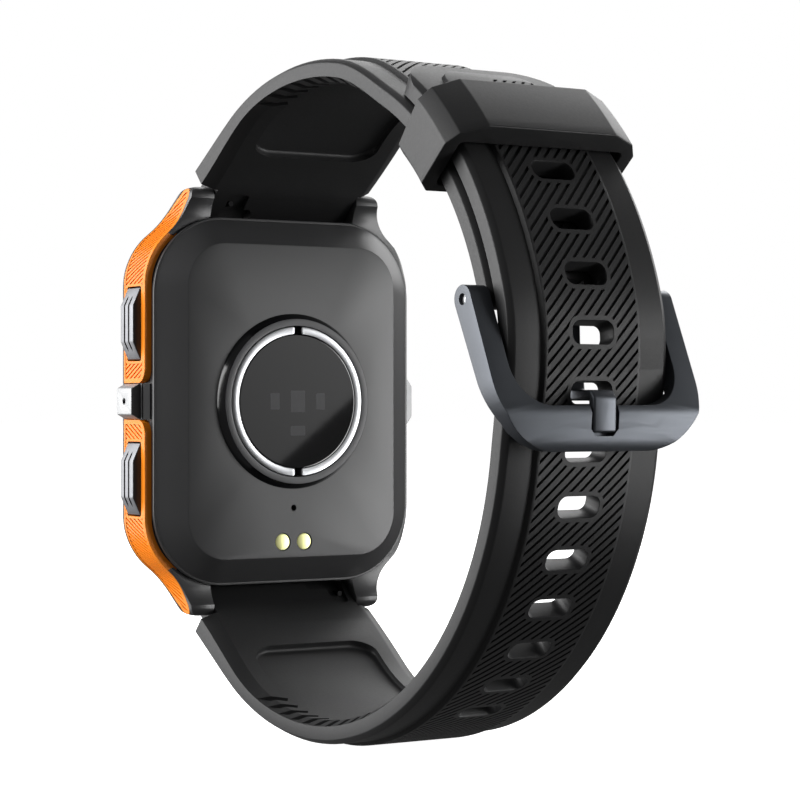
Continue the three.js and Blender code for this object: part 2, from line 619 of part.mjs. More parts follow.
function backCover() {
  const [flat, base] = [roundedRect(15.75, 20.7, 5.6), roundedRect(19.5, 24.3, 10.3)];
  const dome = join(loft(base, flat, LIP_Y, PLATE_Y), plate(base, SEAM_Y, LIP_Y + 0.001));
  const recess = rodY(10.75, -10, 0, 0, 0, 40);
  const vent = rodY(0.38, -10, 0, 0, -14.2, 10);
  const pads = [1.65, -1.65].map((x) => rodY(1.15, -10, 0, x, -18.7, 12));
  const hollow = plate(roundedRect(14.2, 19, 4.5), -10, PLATE_Y - 1.3);
  return cut(dome, recess, vent, hollow, ...pads);
}

function sensor() {
  const [inner, crest, base] = SENSOR_BEZEL_R;
  const top = rodY(base, PLATE_Y, 0, 0, 0, 40, crest);
  const stem = rodY(10.65, -2.9, PLATE_Y + 0.1, 0, 0, 40);
  const bore = rodY(inner, -2.6, 1, 0, 0, 40);
  const wires = rodY(8, -5, 0, 0, 0, 24);
  piece("sensor_bezel", cut(join(top, stem), bore, wires), blackGloss);
  piece("sensor_lens", rodY(LENS_R, -1.2, 0, 0, 0, 40), blackGloss);
  const ring = cut(rodY(ELECTRODE_R[1], -1.2, 0, 0, 0, 40), rodY(ELECTRODE_R[0], -3, 1, 0, 0, 40));
  const halves = [["electrode_right", 1], ["electrode_left", -1]];
  for (const [name, side] of halves) {
    const span = side > 0 ? [0.5, 12] : [-12, -0.5];
    piece(name, ring.intersect(box(span, [-3, 1], [-12, 12])), silver);
  }
  const carrier = cut(rodY(9.9, -2.5, -1.3, 0, 0, 32), ...opticalSpots().map(([, x, z, w, h]) => opticalBox(x, z, w + 0.2, h + 0.2, -3, 0)));
  piece("sensor_carrier", carrier, casePlastic);
  for (const [name, x, z, w, h] of opticalSpots()) {
    piece(name, opticalBox(x, z, w, h, -2.1, -1.3), blackGloss);
  }
  piece("sensor_board", rodY(7.8, -3.4, -2.7, 0, 0, 24), boardGreen);
}

function opticalSpots() {
  return [
    ["sensor_leds", 0, 0, 2.2, 2.9],
    ["photodiode_right", 3.5, 0, 1.4, 2.2],
    ["photodiode_left", -3.5, 0, 1.4, 2.2],
    ["photodiode_lower", 0, -3.9, 2.3, 1.3],
  ];
}

function opticalBox(x, z, w, h, y0, y1) {
  return box([x - w / 2, x + w / 2], [y0, y1], [z - h / 2, z + h / 2]);
}

function internals() {
  const sealOutline = roundedRect(19, 23.6, 9.6);
  const seal = cut(plate(sealOutline, CASE_BACK_Y + 0.03, SEAM_Y - 0.03), plate(roundedRect(17, 22, 6.5), -10, 0));
  piece("back_cover_seal", seal, sealRubber);
  [["charge_contact_right", 1.65], ["charge_contact_left", -1.65]].forEach(([name, x]) => {
    piece(name, join(rodY(1.1, -2.2, PLATE_Y - 0.1, x, -18.7, 14), rodY(0.6, -3.6, -2.1, x, -18.7, 10)), gold);
  });
  piece("display_glass", plate(roundedRect(13.45, 16.95, 2.9), BEZEL_FRONT_Y + 0.2, -12.1), blackGloss);
  piece("display_panel", plate(roundedRect(12.6, 16.1, 2.8), -12, -10.8), blackGloss);
  piece("main_board", plate(roundedRect(11.3, 18.5, 2), -9.9, -9.1), boardGreen);
  piece("battery", plate(roundedRect(10.5, 9, 1), -8.8, -4.7), cellFoil);
  piece("vibration_motor", rodX(1.7, -6, 6, -6.8, 13, 14), silver);
  piece("speaker", plate(roundedRect(5, 2.6, 1), -8.8, -5.2).translate([0, 0, -13.2]), casePlastic);
  piece("microphone", box([14.6, 16.2], [-8.5, -5.7], [-1.5, 1.5]), silver);
  piece("satellite_antenna", plate(roundedRect(6, 1.4, 0.5), -8.8, -7.2).translate([0, 0, 18.2]), gold);
  const spots = [[10, 16.8], [-10, 16.8], [10, -16.8], [-10, -16.8]];
  spots.forEach(([x, z], i) => {
    piece("board_screw_" + (i + 1), rodY(1.2, -9, -8.3, x, z, 12), silver);
  });
}

function springBars() {
  for (const [label, end, lever] of [["upper", 1, UPPER_LEVER_X], ["lower", -1, LOWER_LEVER_X]]) {
    const place = end > 0 ? (body) => body : turned;
    const bore = rodX(0.48, -12, 12, BAR_Y, BAR_Z, 12);
    const slot = box([lever - 2.1, lever + 0.6], [BAR_Y, BAR_Y + 2], [BAR_Z - 0.42, BAR_Z + 0.42]);
    const tube = cut(rodX(BAR_R, -10.5, 10.5, BAR_Y, BAR_Z, 14), bore, slot);
    piece("spring_bar_tube_" + label, place(tube), silver);
    piece("spring_bar_tip_" + label, place(rodX(0.42, -12, -8.6, BAR_Y, BAR_Z, 12)), silver);
    const coil = rodX(0.4, -8.4, lever - 2.8, BAR_Y, BAR_Z, 10);
    piece("spring_bar_coil_" + label, place(coil), silver);
    const shaft = rodX(0.42, lever - 0.9, 12, BAR_Y, BAR_Z, 12);
    const post = rodY(0.36, BAR_Y, BAR_Y + 2.6, lever, BAR_Z, 10);
    piece("quick_release_lever_" + label, place(join(shaft, post)), silver);
  }
}

piece("mid_case", midCase(), casePlastic);
piece("front_bezel", frontBezel(), casePlastic);
piece("back_cover", backCover(), casePlastic);
trims();
buttons();
sidePlates();
sensor();
internals();
piece("upper_strap", upperStrap(), silicone);
piece("lower_strap", lowerStrap(), silicone);
piece("keeper", keeper(), silicone);
springBars();
piece("buckle_pin", rodX(PIN_R, -13.7, 13.7, PIN_Y, PIN_Z, 12), silver);
piece("buckle_frame", buckleFrame(), gunmetal);
piece("buckle_tongue", buckleTongue(), gunmetal);

export default watch;
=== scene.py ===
import json
import math
import bmesh
import bpy
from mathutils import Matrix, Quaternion, Vector


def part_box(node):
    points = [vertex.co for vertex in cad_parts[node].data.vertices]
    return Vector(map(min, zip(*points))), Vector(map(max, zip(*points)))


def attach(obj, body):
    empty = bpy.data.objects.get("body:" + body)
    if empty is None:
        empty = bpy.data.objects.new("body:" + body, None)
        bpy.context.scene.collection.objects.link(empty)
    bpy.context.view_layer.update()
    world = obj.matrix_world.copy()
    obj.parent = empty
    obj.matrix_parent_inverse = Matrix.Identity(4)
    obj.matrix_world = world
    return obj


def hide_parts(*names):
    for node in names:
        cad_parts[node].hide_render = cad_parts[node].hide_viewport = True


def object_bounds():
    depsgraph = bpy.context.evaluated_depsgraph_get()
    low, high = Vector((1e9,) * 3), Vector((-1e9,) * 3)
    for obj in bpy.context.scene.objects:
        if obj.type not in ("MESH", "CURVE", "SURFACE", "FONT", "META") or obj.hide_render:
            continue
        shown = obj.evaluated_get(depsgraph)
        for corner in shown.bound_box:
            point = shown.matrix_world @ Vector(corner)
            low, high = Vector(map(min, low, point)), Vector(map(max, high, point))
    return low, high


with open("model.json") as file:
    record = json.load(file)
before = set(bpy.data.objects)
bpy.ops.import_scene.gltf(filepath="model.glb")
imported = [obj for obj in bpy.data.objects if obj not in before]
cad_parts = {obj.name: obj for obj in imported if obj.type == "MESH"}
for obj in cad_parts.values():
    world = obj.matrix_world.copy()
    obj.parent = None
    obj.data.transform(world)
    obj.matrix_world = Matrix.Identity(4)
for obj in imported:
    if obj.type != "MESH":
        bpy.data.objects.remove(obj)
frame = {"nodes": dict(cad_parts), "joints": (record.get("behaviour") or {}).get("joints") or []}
CAD_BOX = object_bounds()

bl_info = {
    "name": "Running Watch Builder",
    "version": (1, 0, 0),
    "blender": (4, 5, 0),
    "location": "View3D > Sidebar > Watch",
    "description": "Builds the visible pieces of a running watch around its packed frame",
    "category": "Add Mesh",
}

# All shaping is done in millimetres, and finish_piece() brings a piece to metres.
MM = 0.001


def node_box(node):
    """Lowest and highest corner of a frame node, in millimetres."""
    low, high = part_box(node)
    return low / MM, high / MM


def joint_place(name):
    """The point a hinge turns about, in millimetres."""
    found = next(joint for joint in frame["joints"] if joint["name"] == name)
    return Vector(found["pos_m"]) / MM


# ---- sizes taken from the frame ---------------------------------------------------------------
CASE_LOW, CASE_HIGH = node_box("mid_case")
COVER_LOW, COVER_HIGH = node_box("back_cover")
BEZEL_LOW, BEZEL_HIGH = node_box("front_bezel")
LENS_R = node_box("sensor_lens")[1].x
SENSOR_BASE_R = node_box("sensor_bezel")[1].x
ELECTRODE_R = node_box("electrode_right")[1].x
CONTACT_TOP_Y = node_box("charge_contact_right")[1].y
BUTTON_LOW, BUTTON_HIGH = node_box("button_cap_upper")
MIC_LOW, MIC_HIGH = node_box("microphone_port_plate")
LEFT_LOW, LEFT_HIGH = node_box("left_side_plate")
TRIM_LOW, TRIM_HIGH = node_box("trim_right_upper")
BUCKLE_HALF_WIDTH = node_box("buckle_frame")[1].x
GLASS_LOW, GLASS_HIGH = node_box("display_glass")
PIN = joint_place("buckle_lift")
WRIST_CENTRE_Y = joint_place("keeper_slide").y

CASE_HALF_WIDTH = TRIM_HIGH.x
LUG_TIP_Z = CASE_HIGH.z
PLATE_Y = COVER_HIGH.y
SEAM_Y = COVER_LOW.y
SHOULDER_HALF_WIDTH = node_box("upper_strap")[1].x

# ---- sizes of the band, which follow the same line as the frame's straps ----------------------
BAND_R = 41.5
BEND_R = 33.0
CIRCLE_TO_BEND = math.radians(80)
BEND_TO_STRAIGHT = math.radians(122.5)
CIRCLE_LENGTH = BAND_R * CIRCLE_TO_BEND
BEND_LENGTH = BEND_R * (BEND_TO_STRAIGHT - CIRCLE_TO_BEND)
SHOULDER_S = CIRCLE_LENGTH + BEND_LENGTH + 10.96
BEND_CENTRE_Y = WRIST_CENTRE_Y + (BAND_R - BEND_R) * math.cos(CIRCLE_TO_BEND)
BEND_CENTRE_Z = (BAND_R - BEND_R) * math.sin(CIRCLE_TO_BEND)
STRAP_HALF_WIDTH = 11.0
WIDENING_FROM_X = 7.0
PANEL_HALF_WIDTH = 6.6
PANEL_HEIGHT = 1.0
BORDER_HEIGHT = 0.5
STRAP_INNER = -2.35
SHOULDER_INNER = -3.4
SIDE_FACE_INNER = -1.7
CHANNEL_FLOOR = -1.55
CHANNEL_HALF_WIDTH = 8.5
CHANNEL_END_S = SHOULDER_S - 7.5
SLOT_STEP = BAND_R * math.radians(8.7)
SLOT_USED_S = BAND_R * math.radians(1.3)
SLOT_HALF_LENGTH = 2.8
SLOT_HALF_WIDTH = 1.2
TAIL_TIP_S = BAND_R * math.radians(64)
PIN_S = BAND_R * math.atan2(PIN.z, PIN.y - WRIST_CENTRE_Y)
KNUCKLE_S = SHOULDER_S + 4.24
KNUCKLE_H = -2.17
KNUCKLE_R = 1.95

FLANK_STRAIGHT_Z = 15.0
FLANK_RADIUS = 9.0
FLANK_TURN = math.radians(48)
LUG_SWEEP_Z = 22.4
LUG_RADIUS = 7.0
LUG_TURN = math.radians(14)
CASE_BACK_Y = -4.4
LIP_Y = -3.6
MIC_Y = (MIC_LOW.y + MIC_HIGH.y) / 2
LUG_EDGE = 0.3
LUG_GAP_HALF = 11.0
LUG_GAP_END_Z = 24.0
SPRING_BAR_Y, SPRING_BAR_Z = -7, 26.2
CONTACT_X, CONTACT_Z = 1.65, -18.7
VENT_Z = -14.2
PIN_BORE_R = 0.66


class WatchSizes(bpy.types.PropertyGroup):
    """Sizes that change the character of the surfaces."""

    groove_pitch: bpy.props.FloatProperty(
        name="Groove pitch", description="Spacing of the strap's diagonal grooves along its length, in mm",
        default=1.31, min=0.6)
    groove_width: bpy.props.FloatProperty(
        name="Groove width", description="Width of a groove along the strap's length, in mm",
        default=0.46, min=0.1)
    groove_depth: bpy.props.FloatProperty(
        name="Groove depth", description="Depth of a groove, in mm", default=0.4, min=0.05)
    groove_angle: bpy.props.FloatProperty(
        name="Groove angle", description="Slope of the grooves across the strap",
        default=math.radians(44), subtype="ANGLE")
    rib_pitch: bpy.props.FloatProperty(
        name="Rib pitch", description="Spacing of the fine ribs on the side trim, in mm",
        default=0.62, min=0.3)
    edge_radius: bpy.props.FloatProperty(
        name="Edge radius", description="Rounding of the case's moulded edges, in mm",
        default=0.22, min=0.02)


class WatchColours(bpy.types.PropertyGroup):
    """Colours of the finishes, as sRGB hex values."""

    case: bpy.props.StringProperty(name="Case", description="Case plastic", default="39393a")
    trim: bpy.props.StringProperty(name="Trim", description="Side trim", default="f58a1e")
    strap: bpy.props.StringProperty(name="Strap", description="Silicone", default="19191a")
    buckle: bpy.props.StringProperty(name="Buckle", description="Plated steel", default="4e5156")
    button: bpy.props.StringProperty(name="Button", description="Anodised aluminium", default="85868a")
    contact: bpy.props.StringProperty(name="Contacts", description="Plated pads", default="fafab0")


def link(name, data):
    """A new object in the scene."""
    obj = bpy.data.objects.new(name, data)
    bpy.context.scene.collection.objects.link(obj)
    return obj


# ---- mesh helpers -----------------------------------------------------------------------------
def prism(points, axis, low, high):
    """An outline drawn across an axis and carried along it from low to high."""
    place = {
        "X": lambda u, v: (low, u, v),
        "Y": lambda u, v: (u, low, v),
        "Z": lambda u, v: (u, v, low),
    }[axis]
    bm = bmesh.new()
    face = bm.faces.new([bm.verts.new(place(u, v)) for u, v in points])
    grown = bmesh.ops.extrude_face_region(bm, geom=[face])["geom"]
    step = Vector((axis == "X", axis == "Y", axis == "Z")) * (high - low)
    bmesh.ops.translate(bm, vec=step, verts=[v for v in grown if isinstance(v, bmesh.types.BMVert)])
    bmesh.ops.recalc_face_normals(bm, faces=bm.faces)
    return bm


def arc(centre, radius, start, end, steps):
    """Points on an arc, with angles in degrees."""
    angles = [math.radians(start + (end - start) * i / steps) for i in range(steps + 1)]
    return [(centre[0] + radius * math.cos(a), centre[1] + radius * math.sin(a)) for a in angles]


def rounded_rect(half_u, half_v, radius, centre=(0, 0), steps=10):
    """Outline of a rectangle with round corners."""
    points = []
    for quarter, (side_u, side_v) in enumerate([(1, 1), (-1, 1), (-1, -1), (1, -1)]):
        middle = (centre[0] + side_u * (half_u - radius), centre[1] + side_v * (half_v - radius))
        points += arc(middle, radius, 90 * quarter, 90 * quarter + 90, steps)
    return points


def stack(rings):
    """A closed body through outlines of equal count, each a (points, y) pair, from low to high."""
    bm = bmesh.new()
    loops = []
    for points, y in rings:
        verts = [bm.verts.new((u, y, v)) for u, v in points]
        edges = [bm.edges.new((a, b)) for a, b in zip(verts, verts[1:] + verts[:1])]
        loops.append((verts, edges))
    for (_, below), (_, above) in zip(loops, loops[1:]):
        bmesh.ops.bridge_loops(bm, edges=below + above)
    for verts, _ in (loops[0], loops[-1]):
        bm.faces.new(verts)
    bmesh.ops.recalc_face_normals(bm, faces=bm.faces)
    return bm


def lathe(profile, steps=128, centre=(0, 0)):
    """A closed (radius, y) profile turned about the Y axis."""
    bm = bmesh.new()
    verts = [bm.verts.new((r, y, 0)) for r, y in profile]
    edges = [bm.edges.new((a, b)) for a, b in zip(verts, verts[1:] + verts[:1])]
    bmesh.ops.spin(bm, geom=verts + edges, cent=(0, 0, 0), axis=(0, 1, 0), angle=math.tau,
                   steps=steps, use_merge=True, use_duplicate=False)
    bmesh.ops.remove_doubles(bm, verts=bm.verts, dist=1e-4)
    bmesh.ops.translate(bm, vec=(centre[0], 0, centre[1]), verts=bm.verts)
    bmesh.ops.recalc_face_normals(bm, faces=bm.faces)
    return bm


def rod(radius, low, high, centre, axis="X", steps=24):
    """A round rod along an axis, centred on the two other coordinates."""
    return prism(arc(centre, radius, 0, 360, steps)[:-1], axis, low, high)


def block(x, y, z):
    """A box between the given limits."""
    return prism([(x[0], y[0]), (x[1], y[0]), (x[1], y[1]), (x[0], y[1])], "Z", z[0], z[1])


def faced_out(bm):
    """A closed body with its faces turned outwards, told from the sign of its volume."""
    if bm.calc_volume(signed=True) < 0:
        bmesh.ops.reverse_faces(bm, faces=bm.faces)
    bm.normal_update()
    return bm


def bevel(bm, edges, width, segments=2):
    """Rounds the given edges."""
    bmesh.ops.bevel(bm, geom=list(edges), offset=width, offset_type="OFFSET", segments=segments,
                    profile=0.5, affect="EDGES", clamp_overlap=True, material=-1)
    return bm


def sharp_edges(bm, degrees=30):
    """The edges where the surface turns by more than an angle."""
    limit = math.radians(degrees)
    return [e for e in bm.edges if len(e.link_faces) == 2 and e.calc_face_angle(0) > limit]


def edges_where(edges, test):
    """The edges whose ends both pass a test of their place."""
    return [e for e in edges if all(test(v.co) for v in e.verts)]


def together(bodies):
    """Several closed bodies that don't touch, as one mesh."""
    whole = bmesh.new()
    for bm in bodies:
        mesh = bpy.data.meshes.new("part")
        bm.to_mesh(mesh)
        bm.free()
        whole.from_mesh(mesh)
        bpy.data.meshes.remove(mesh)
    return whole


def shaped(base, tools, operation="DIFFERENCE"):
    """The base body cut by, joined with or kept inside each tool body."""
    objects = []
    for bm in [base, *tools]:
        mesh = bpy.data.meshes.new("shape")
        bm.to_mesh(mesh)
        bm.free()
        objects.append(link("shape", mesh))
    for tool in objects[1:]:
        cutter = objects[0].modifiers.new("shape", "BOOLEAN")
        cutter.operation = operation
        cutter.solver = "EXACT"
        cutter.object = tool
    depsgraph = bpy.context.evaluated_depsgraph_get()
    mesh = bpy.data.meshes.new_from_object(objects[0].evaluated_get(depsgraph))
    result = bmesh.new()
    result.from_mesh(mesh)
    bpy.data.meshes.remove(mesh)
    for obj in objects:
        data = obj.data
        bpy.data.objects.remove(obj)
        bpy.data.meshes.remove(data)
    bmesh.ops.remove_doubles(result, verts=result.verts, dist=1e-4)
    bmesh.ops.dissolve_degenerate(result, edges=result.edges, dist=1e-4)
    return result


def sliced(bm, axis, low, high, pitch):
    """Cuts a body's faces across one axis every pitch, so that it can be bent."""
    normal = Vector((axis == "X", axis == "Y", axis == "Z"))
    for i in range(1, int((high - low) / pitch) + 1):
        geom = bm.verts[:] + bm.edges[:] + bm.faces[:]
        bmesh.ops.bisect_plane(bm, geom=geom, dist=1e-5, plane_co=normal * (low + i * pitch), plane_no=normal)
    return bm


def finish_piece(name, bm, finish, body, nodes, smooth_degrees=32):
    """Turns a closed body into a piece that rides on a frame body and stands for frame nodes."""
    faced_out(bm)
    many_sided = [face for face in bm.faces if len(face.verts) > 4]
    bmesh.ops.triangulate(bm, faces=many_sided)
    bmesh.ops.scale(bm, vec=(MM, MM, MM), verts=bm.verts)
    mesh = bpy.data.meshes.new(name)
    bm.to_mesh(mesh)
    bm.free()
    mesh.shade_smooth()
    mesh.set_sharp_from_angle(angle=math.radians(smooth_degrees))
    mesh.materials.append(finish)
    obj = link(name, mesh)
    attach(obj, body)
    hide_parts(*nodes)
    return obj


def second_finish(piece, finish, chosen):
    """Gives the faces that a test picks out a second finish."""
    piece.data.materials.append(finish)
    for face in piece.data.polygons:
        if chosen(face):
            face.material_index = 1
    return piece


# ---- materials --------------------------------------------------------------------------------
def linear(hex_value):
    """An sRGB hex value as the linear colour that shaders take."""
    channels = [int(hex_value[i:i + 2], 16) / 255 for i in (0, 2, 4)]
    turned = [c / 12.92 if c <= 0.04045 else ((c + 0.055) / 1.055) ** 2.4 for c in channels]
    return (*turned, 1.0)


def shade(hex_value, factor):
    """A hex value made lighter or darker by a factor."""
    return "".join(f"{min(255, round(int(hex_value[i:i + 2], 16) * factor)):02x}" for i in (0, 2, 4))


def add(tree, kind, inputs=None, **settings):
    """Adds a node with its settings, and with each input linked or given its value."""
    node = tree.nodes.new(kind)
    for name, value in settings.items():
        setattr(node, name, value)
    for key, value in (inputs or {}).items():
        if isinstance(value, bpy.types.NodeSocket):
            tree.links.new(value, node.inputs[key])
        else:
            node.inputs[key].default_value = value
    return node


def per_mm(size):
    """Texture scale that gives a pattern a size in millimetres."""
    return 1 / (size * MM)


def textured(name, dark, light, rough, mottle_mm, grain_mm, depth_mm, stretch=(1, 1, 1), **shader):
    """A finish whose colour drifts between two hex values over mottle_mm, and whose grain, grain_mm
    across and depth_mm deep, moves its roughness between two values and dents it. The keywords are
    constants for the shader's own sockets."""
    finish = bpy.data.materials.get(name)
    if finish:
        return finish
    finish = bpy.data.materials.new(name)
    finish.use_nodes = True
    tree = finish.node_tree
    tree.nodes.clear()
    place = add(tree, "ShaderNodeTexCoord").outputs["Object"]
    stretched = add(tree, "ShaderNodeMapping", {"Vector": place, "Scale": stretch}).outputs[0]
    mottle = add(tree, "ShaderNodeTexNoise", {"Vector": place, "Scale": per_mm(mottle_mm), "Detail": 4.0})
    grain = add(tree, "ShaderNodeTexNoise", {"Vector": stretched, "Scale": per_mm(grain_mm), "Detail": 3.0})
    mixed = {0: mottle.outputs[0], 6: linear(dark), 7: linear(light)}
    colour = add(tree, "ShaderNodeMix", mixed, data_type="RGBA")
    height = grain.outputs[0]
    gloss = add(tree, "ShaderNodeMapRange", {"Value": height, "To Min": rough[0], "To Max": rough[1]})
    dents = add(tree, "ShaderNodeBump", {"Height": height, "Distance": depth_mm * MM, "Strength": 0.5})
    surface = add(tree, "ShaderNodeBsdfPrincipled", {
        "Base Color": colour.outputs[2], "Roughness": gloss.outputs[0], "Normal": dents.outputs[0]})
    for socket, value in shader.items():
        surface.inputs[socket.replace("_", " ")].default_value = value
    add(tree, "ShaderNodeOutputMaterial", {"Surface": surface.outputs[0]})
    return finish


def sizes():
    return bpy.context.scene.watch_sizes


def colours():
    return bpy.context.scene.watch_colours


def case_plastic():
    # Glass-filled polycarbonate from a spark-eroded tool: an even satin with a fine pebble.
    base = colours().case
    return textured("case_moulded_polycarbonate", shade(base, 0.95), shade(base, 1.04), (0.36, 0.46),
                    9.0, 0.22, 0.01, IOR=1.58)


def trim_plastic():
    # ABS from a smoother tool: saturated, and its ribs and ridges catch bright lines.
    base = colours().trim
    return textured("trim_moulded_orange_abs", shade(base, 0.96), base, (0.3, 0.4), 8.0, 0.3, 0.006, IOR=1.45,
                    Specular_IOR_Level=0.22)


def strap_silicone():
    # Compression-moulded silicone: dry, soft highlights and a faint dusty sheen on its edges.
    base = colours().strap
    return textured("strap_moulded_silicone", shade(base, 0.92), shade(base, 1.1), (0.44, 0.58),
                    6.0, 0.3, 0.012, IOR=1.43, Sheen_Weight=0.05, Sheen_Roughness=0.5)


def buckle_steel():
    # Stainless steel under a dark vacuum coating, brushed across the strap before it was coated.
    base = colours().buckle
    return textured("buckle_dark_coated_steel", shade(base, 0.94), shade(base, 1.05), (0.36, 0.48),
                    5.0, 0.2, 0.004, (0.06, 1, 1), Metallic=0.7)


def button_aluminium():
    # Anodised aluminium, milled along the button: fine lines across a soft bright reflection.
    base = colours().button
    return textured("button_anodised_aluminium", shade(base, 0.95), shade(base, 1.03), (0.34, 0.46),
                    4.0, 0.2, 0.004, (1, 1, 0.08), Metallic=0.6)


def button_painted_shade():
    # Painted shade: the same button's front and back flanks and its groove walls, painted near black to stand
    # in for shade.
    return textured("button_flank_groove_painted_shade", "1b1b1e", "242428", (0.3, 0.42), 4.0, 0.2, 0.004,
                    (1, 1, 0.08), IOR=1.6)


def bright_steel():
    # Turned and polished stainless steel of pins and bars: rings around the axis X.
    return textured("bar_turned_steel", "bfc0c3", "d3d4d6", (0.2, 0.34), 4.0, 0.15, 0.003,
                    (1, 0.1, 0.1), Metallic=1.0)


def electrode_steel():
    # Stainless steel electrode, electropolished after stamping: bright with a faint orange peel.
    return textured("electrode_polished_steel", "8d8e90", "a2a3a5", (0.26, 0.36), 3.0, 0.4, 0.004, Metallic=1.0)


def lens_glass():
    # Black-backed mineral glass, polished: deep colour under a sharp reflection with a faint haze.
    return textured("lens_polished_black_glass", "08080a", "0c0c0e", (0.03, 0.06), 3.0, 2.0, 0.0005, IOR=1.6)


def window_glass():
    # Smoked windows printed behind the same glass for the light source and its detectors.
    return textured("lens_smoked_window", "48484a", "505052", (0.04, 0.08), 1.0, 1.0, 0.0005, IOR=1.52)


def bezel_gloss():
    # High-gloss moulded acrylic around the lens, polished in the tool.
    return textured("sensor_gloss_black_acrylic", "101012", "161618", (0.1, 0.16), 4.0, 0.8, 0.001, IOR=1.5)


def bezel_satin():
    # The flat crest of the same ring, left with a fine spark-eroded grain that scatters grey.
    return textured("sensor_satin_acrylic_crest", "4c4c4e", "59595b", (0.4, 0.5), 3.0, 0.15, 0.006, IOR=1.5)


def cover_plastic():
    # The cover's flat and bevel, in the case plastic on a finer texture than the case, painted slightly paler
    # than the case to stand in for the light on its flat.
    base = colours().case
    return textured("cover_polycarbonate_painted_paler", shade(base, 0.98), shade(base, 1.08), (0.38, 0.46),
                    12.0, 0.2, 0.008, IOR=1.55)


def dark_oxide_steel():
    # Spring bars and their levers under a black oxide: nearly black with a dull edge light.
    return textured("bar_black_oxide_steel", "0c0c0d", "121213", (0.5, 0.6), 3.0, 0.15, 0.003, (1, 0.1, 0.1),
                    IOR=1.4, Specular_IOR_Level=0.15)


def screen_glass():
    # Strengthened cover glass over a dark display.
    return textured("display_polished_cover_glass", "050506", "08080a", (0.02, 0.05),
                    6.0, 3.0, 0.0005, IOR=1.51)


def contact_gold():
    # Pale hard-gold plating over nickel: flat and satin with tiny pits.
    base = colours().contact
    return textured("contact_pale_gold_plating", shade(base, 0.96), base, (0.35, 0.48), 1.5, 0.15, 0.003,
                    Metallic=0.55)


def seal_rubber():
    # Moulded nitrile rubber: matt grey with a fine skin.
    return textured("seal_moulded_nitrile_rubber", "68696b", "747577", (0.62, 0.76), 3.0, 0.15, 0.006, IOR=1.52)


def board_resin():
    # Glass-epoxy laminate under green solder mask: gloss over the weave's slight relief.
    return textured("board_solder_masked_laminate", "1b472d", "235a3b", (0.28, 0.4), 1.2, 0.4, 0.008, IOR=1.5)


def cell_foil():
    # Wrapped aluminium-laminate pouch of the cell: satin, with shallow creases.
    return textured("cell_wrapped_aluminium_foil", "8d9196", "aeb2b6", (0.3, 0.46),
                    2.0, 1.6, 0.05, Metallic=1.0)


# ---- case outline -----------------------------------------------------------------------------
def flank_line(t):
    """Point (x, z) and outward direction on the right flank, t mm along it from 3 o'clock.

    It runs straight, turns in round the corner, and sweeps back out along the lug.
    """
    corner = FLANK_RADIUS * FLANK_TURN
    corner_x = CASE_HALF_WIDTH - FLANK_RADIUS * (1 - math.cos(FLANK_TURN))
    corner_z = FLANK_STRAIGHT_Z + FLANK_RADIUS * math.sin(FLANK_TURN)
    slope = (LUG_SWEEP_Z - corner_z) / math.cos(FLANK_TURN)
    past = t - FLANK_STRAIGHT_Z
    if past <= corner:
        turn = max(past, 0.0) / FLANK_RADIUS
        x = CASE_HALF_WIDTH - FLANK_RADIUS * (1 - math.cos(turn))
        return (x, min(t, FLANK_STRAIGHT_Z) + FLANK_RADIUS * math.sin(turn)), (math.cos(turn), math.sin(turn))
    run = min(past - corner, slope)
    sweep = max(past - corner - slope, 0.0)
    turn = max(FLANK_TURN - sweep / LUG_RADIUS, LUG_TURN)
    end = max(sweep - LUG_RADIUS * (FLANK_TURN - LUG_TURN), 0.0)
    x = corner_x - run * math.sin(FLANK_TURN) - LUG_RADIUS * (math.cos(turn) - math.cos(FLANK_TURN))
    z = corner_z + run * math.cos(FLANK_TURN) + LUG_RADIUS * (math.sin(FLANK_TURN) - math.sin(turn))
    return (x - end * math.sin(turn), z + end * math.cos(turn)), (math.cos(turn), math.sin(turn))


def flank_length(z):
    """Length along the flank at which it reaches the height z."""
    low, high = 0.0, 40.0
    for _ in range(30):
        middle = (low + high) / 2
        if flank_line(middle)[0][1] < z:
            low = middle
        else:
            high = middle
    return high


def case_outline():
    """The whole case seen from the front, with four lugs."""
    tip = flank_length(LUG_TIP_Z - 1.4)
    steps = [i * tip / 60 for i in range(61)]
    quarter = [flank_line(t)[0] for t in steps]
    last = quarter[-1]
    quarter += curve(last, (last[0] - 0.1, LUG_TIP_Z), (last[0] - 1.6, LUG_TIP_Z), 6)
    quarter += [(LUG_GAP_HALF, LUG_TIP_Z), (LUG_GAP_HALF, LUG_GAP_END_Z)]
    half = quarter + [(-x, z) for x, z in reversed(quarter)]
    return half + [(x, -z) for x, z in reversed(half[1:-1])]


def curve(start, control, end, steps=8):
    """Points on a quadratic curve, without its first one."""
    points = []
    for i in range(1, steps + 1):
        t = i / steps
        a, b, c = (1 - t) ** 2, 2 * t * (1 - t), t * t
        points.append((a * start[0] + b * control[0] + c * end[0], a * start[1] + b * control[1] + c * end[1]))
    return points


def trim_side(back, front, start, radius, tuck=0.0):
    """Side outline (y, z) of a trim, which curves towards the wrist at the lug, made larger along its
    back edge and round its front and tip. The tuck draws its back edge in at the lug."""
    back_y, front_y = CASE_BACK_Y + back, TRIM_LOW.y - front
    points = [(front_y, start)]
    points += arc((back_y - radius, start + radius), radius, -90, 0, 10) if radius else [(back_y, start)]
    points.append((back_y, 21.4))
    points += curve((back_y, 21.4), (back_y + 0.1 - tuck / 2, 25.2), (-2.95 + back - tuck, 26.7))
    points += curve((-2.95 + back - tuck, 26.7), (-2.85 + back - tuck, 27.7 + front), (-4.2, 27.9 + front), 6)
    points += curve((-4.2, 27.9 + front), (-5.5 - front, 28.1 + front), (-6.3 - front, 27.1 + front), 6)
    points += curve((-6.3 - front, 27.1 + front), (-9.7 - front, 24.4), (-10.1 - front, 21.6))
    points += curve((-10.1 - front, 21.6), (-10.2 - front, 19.5), (front_y, 17), 4)
    return points


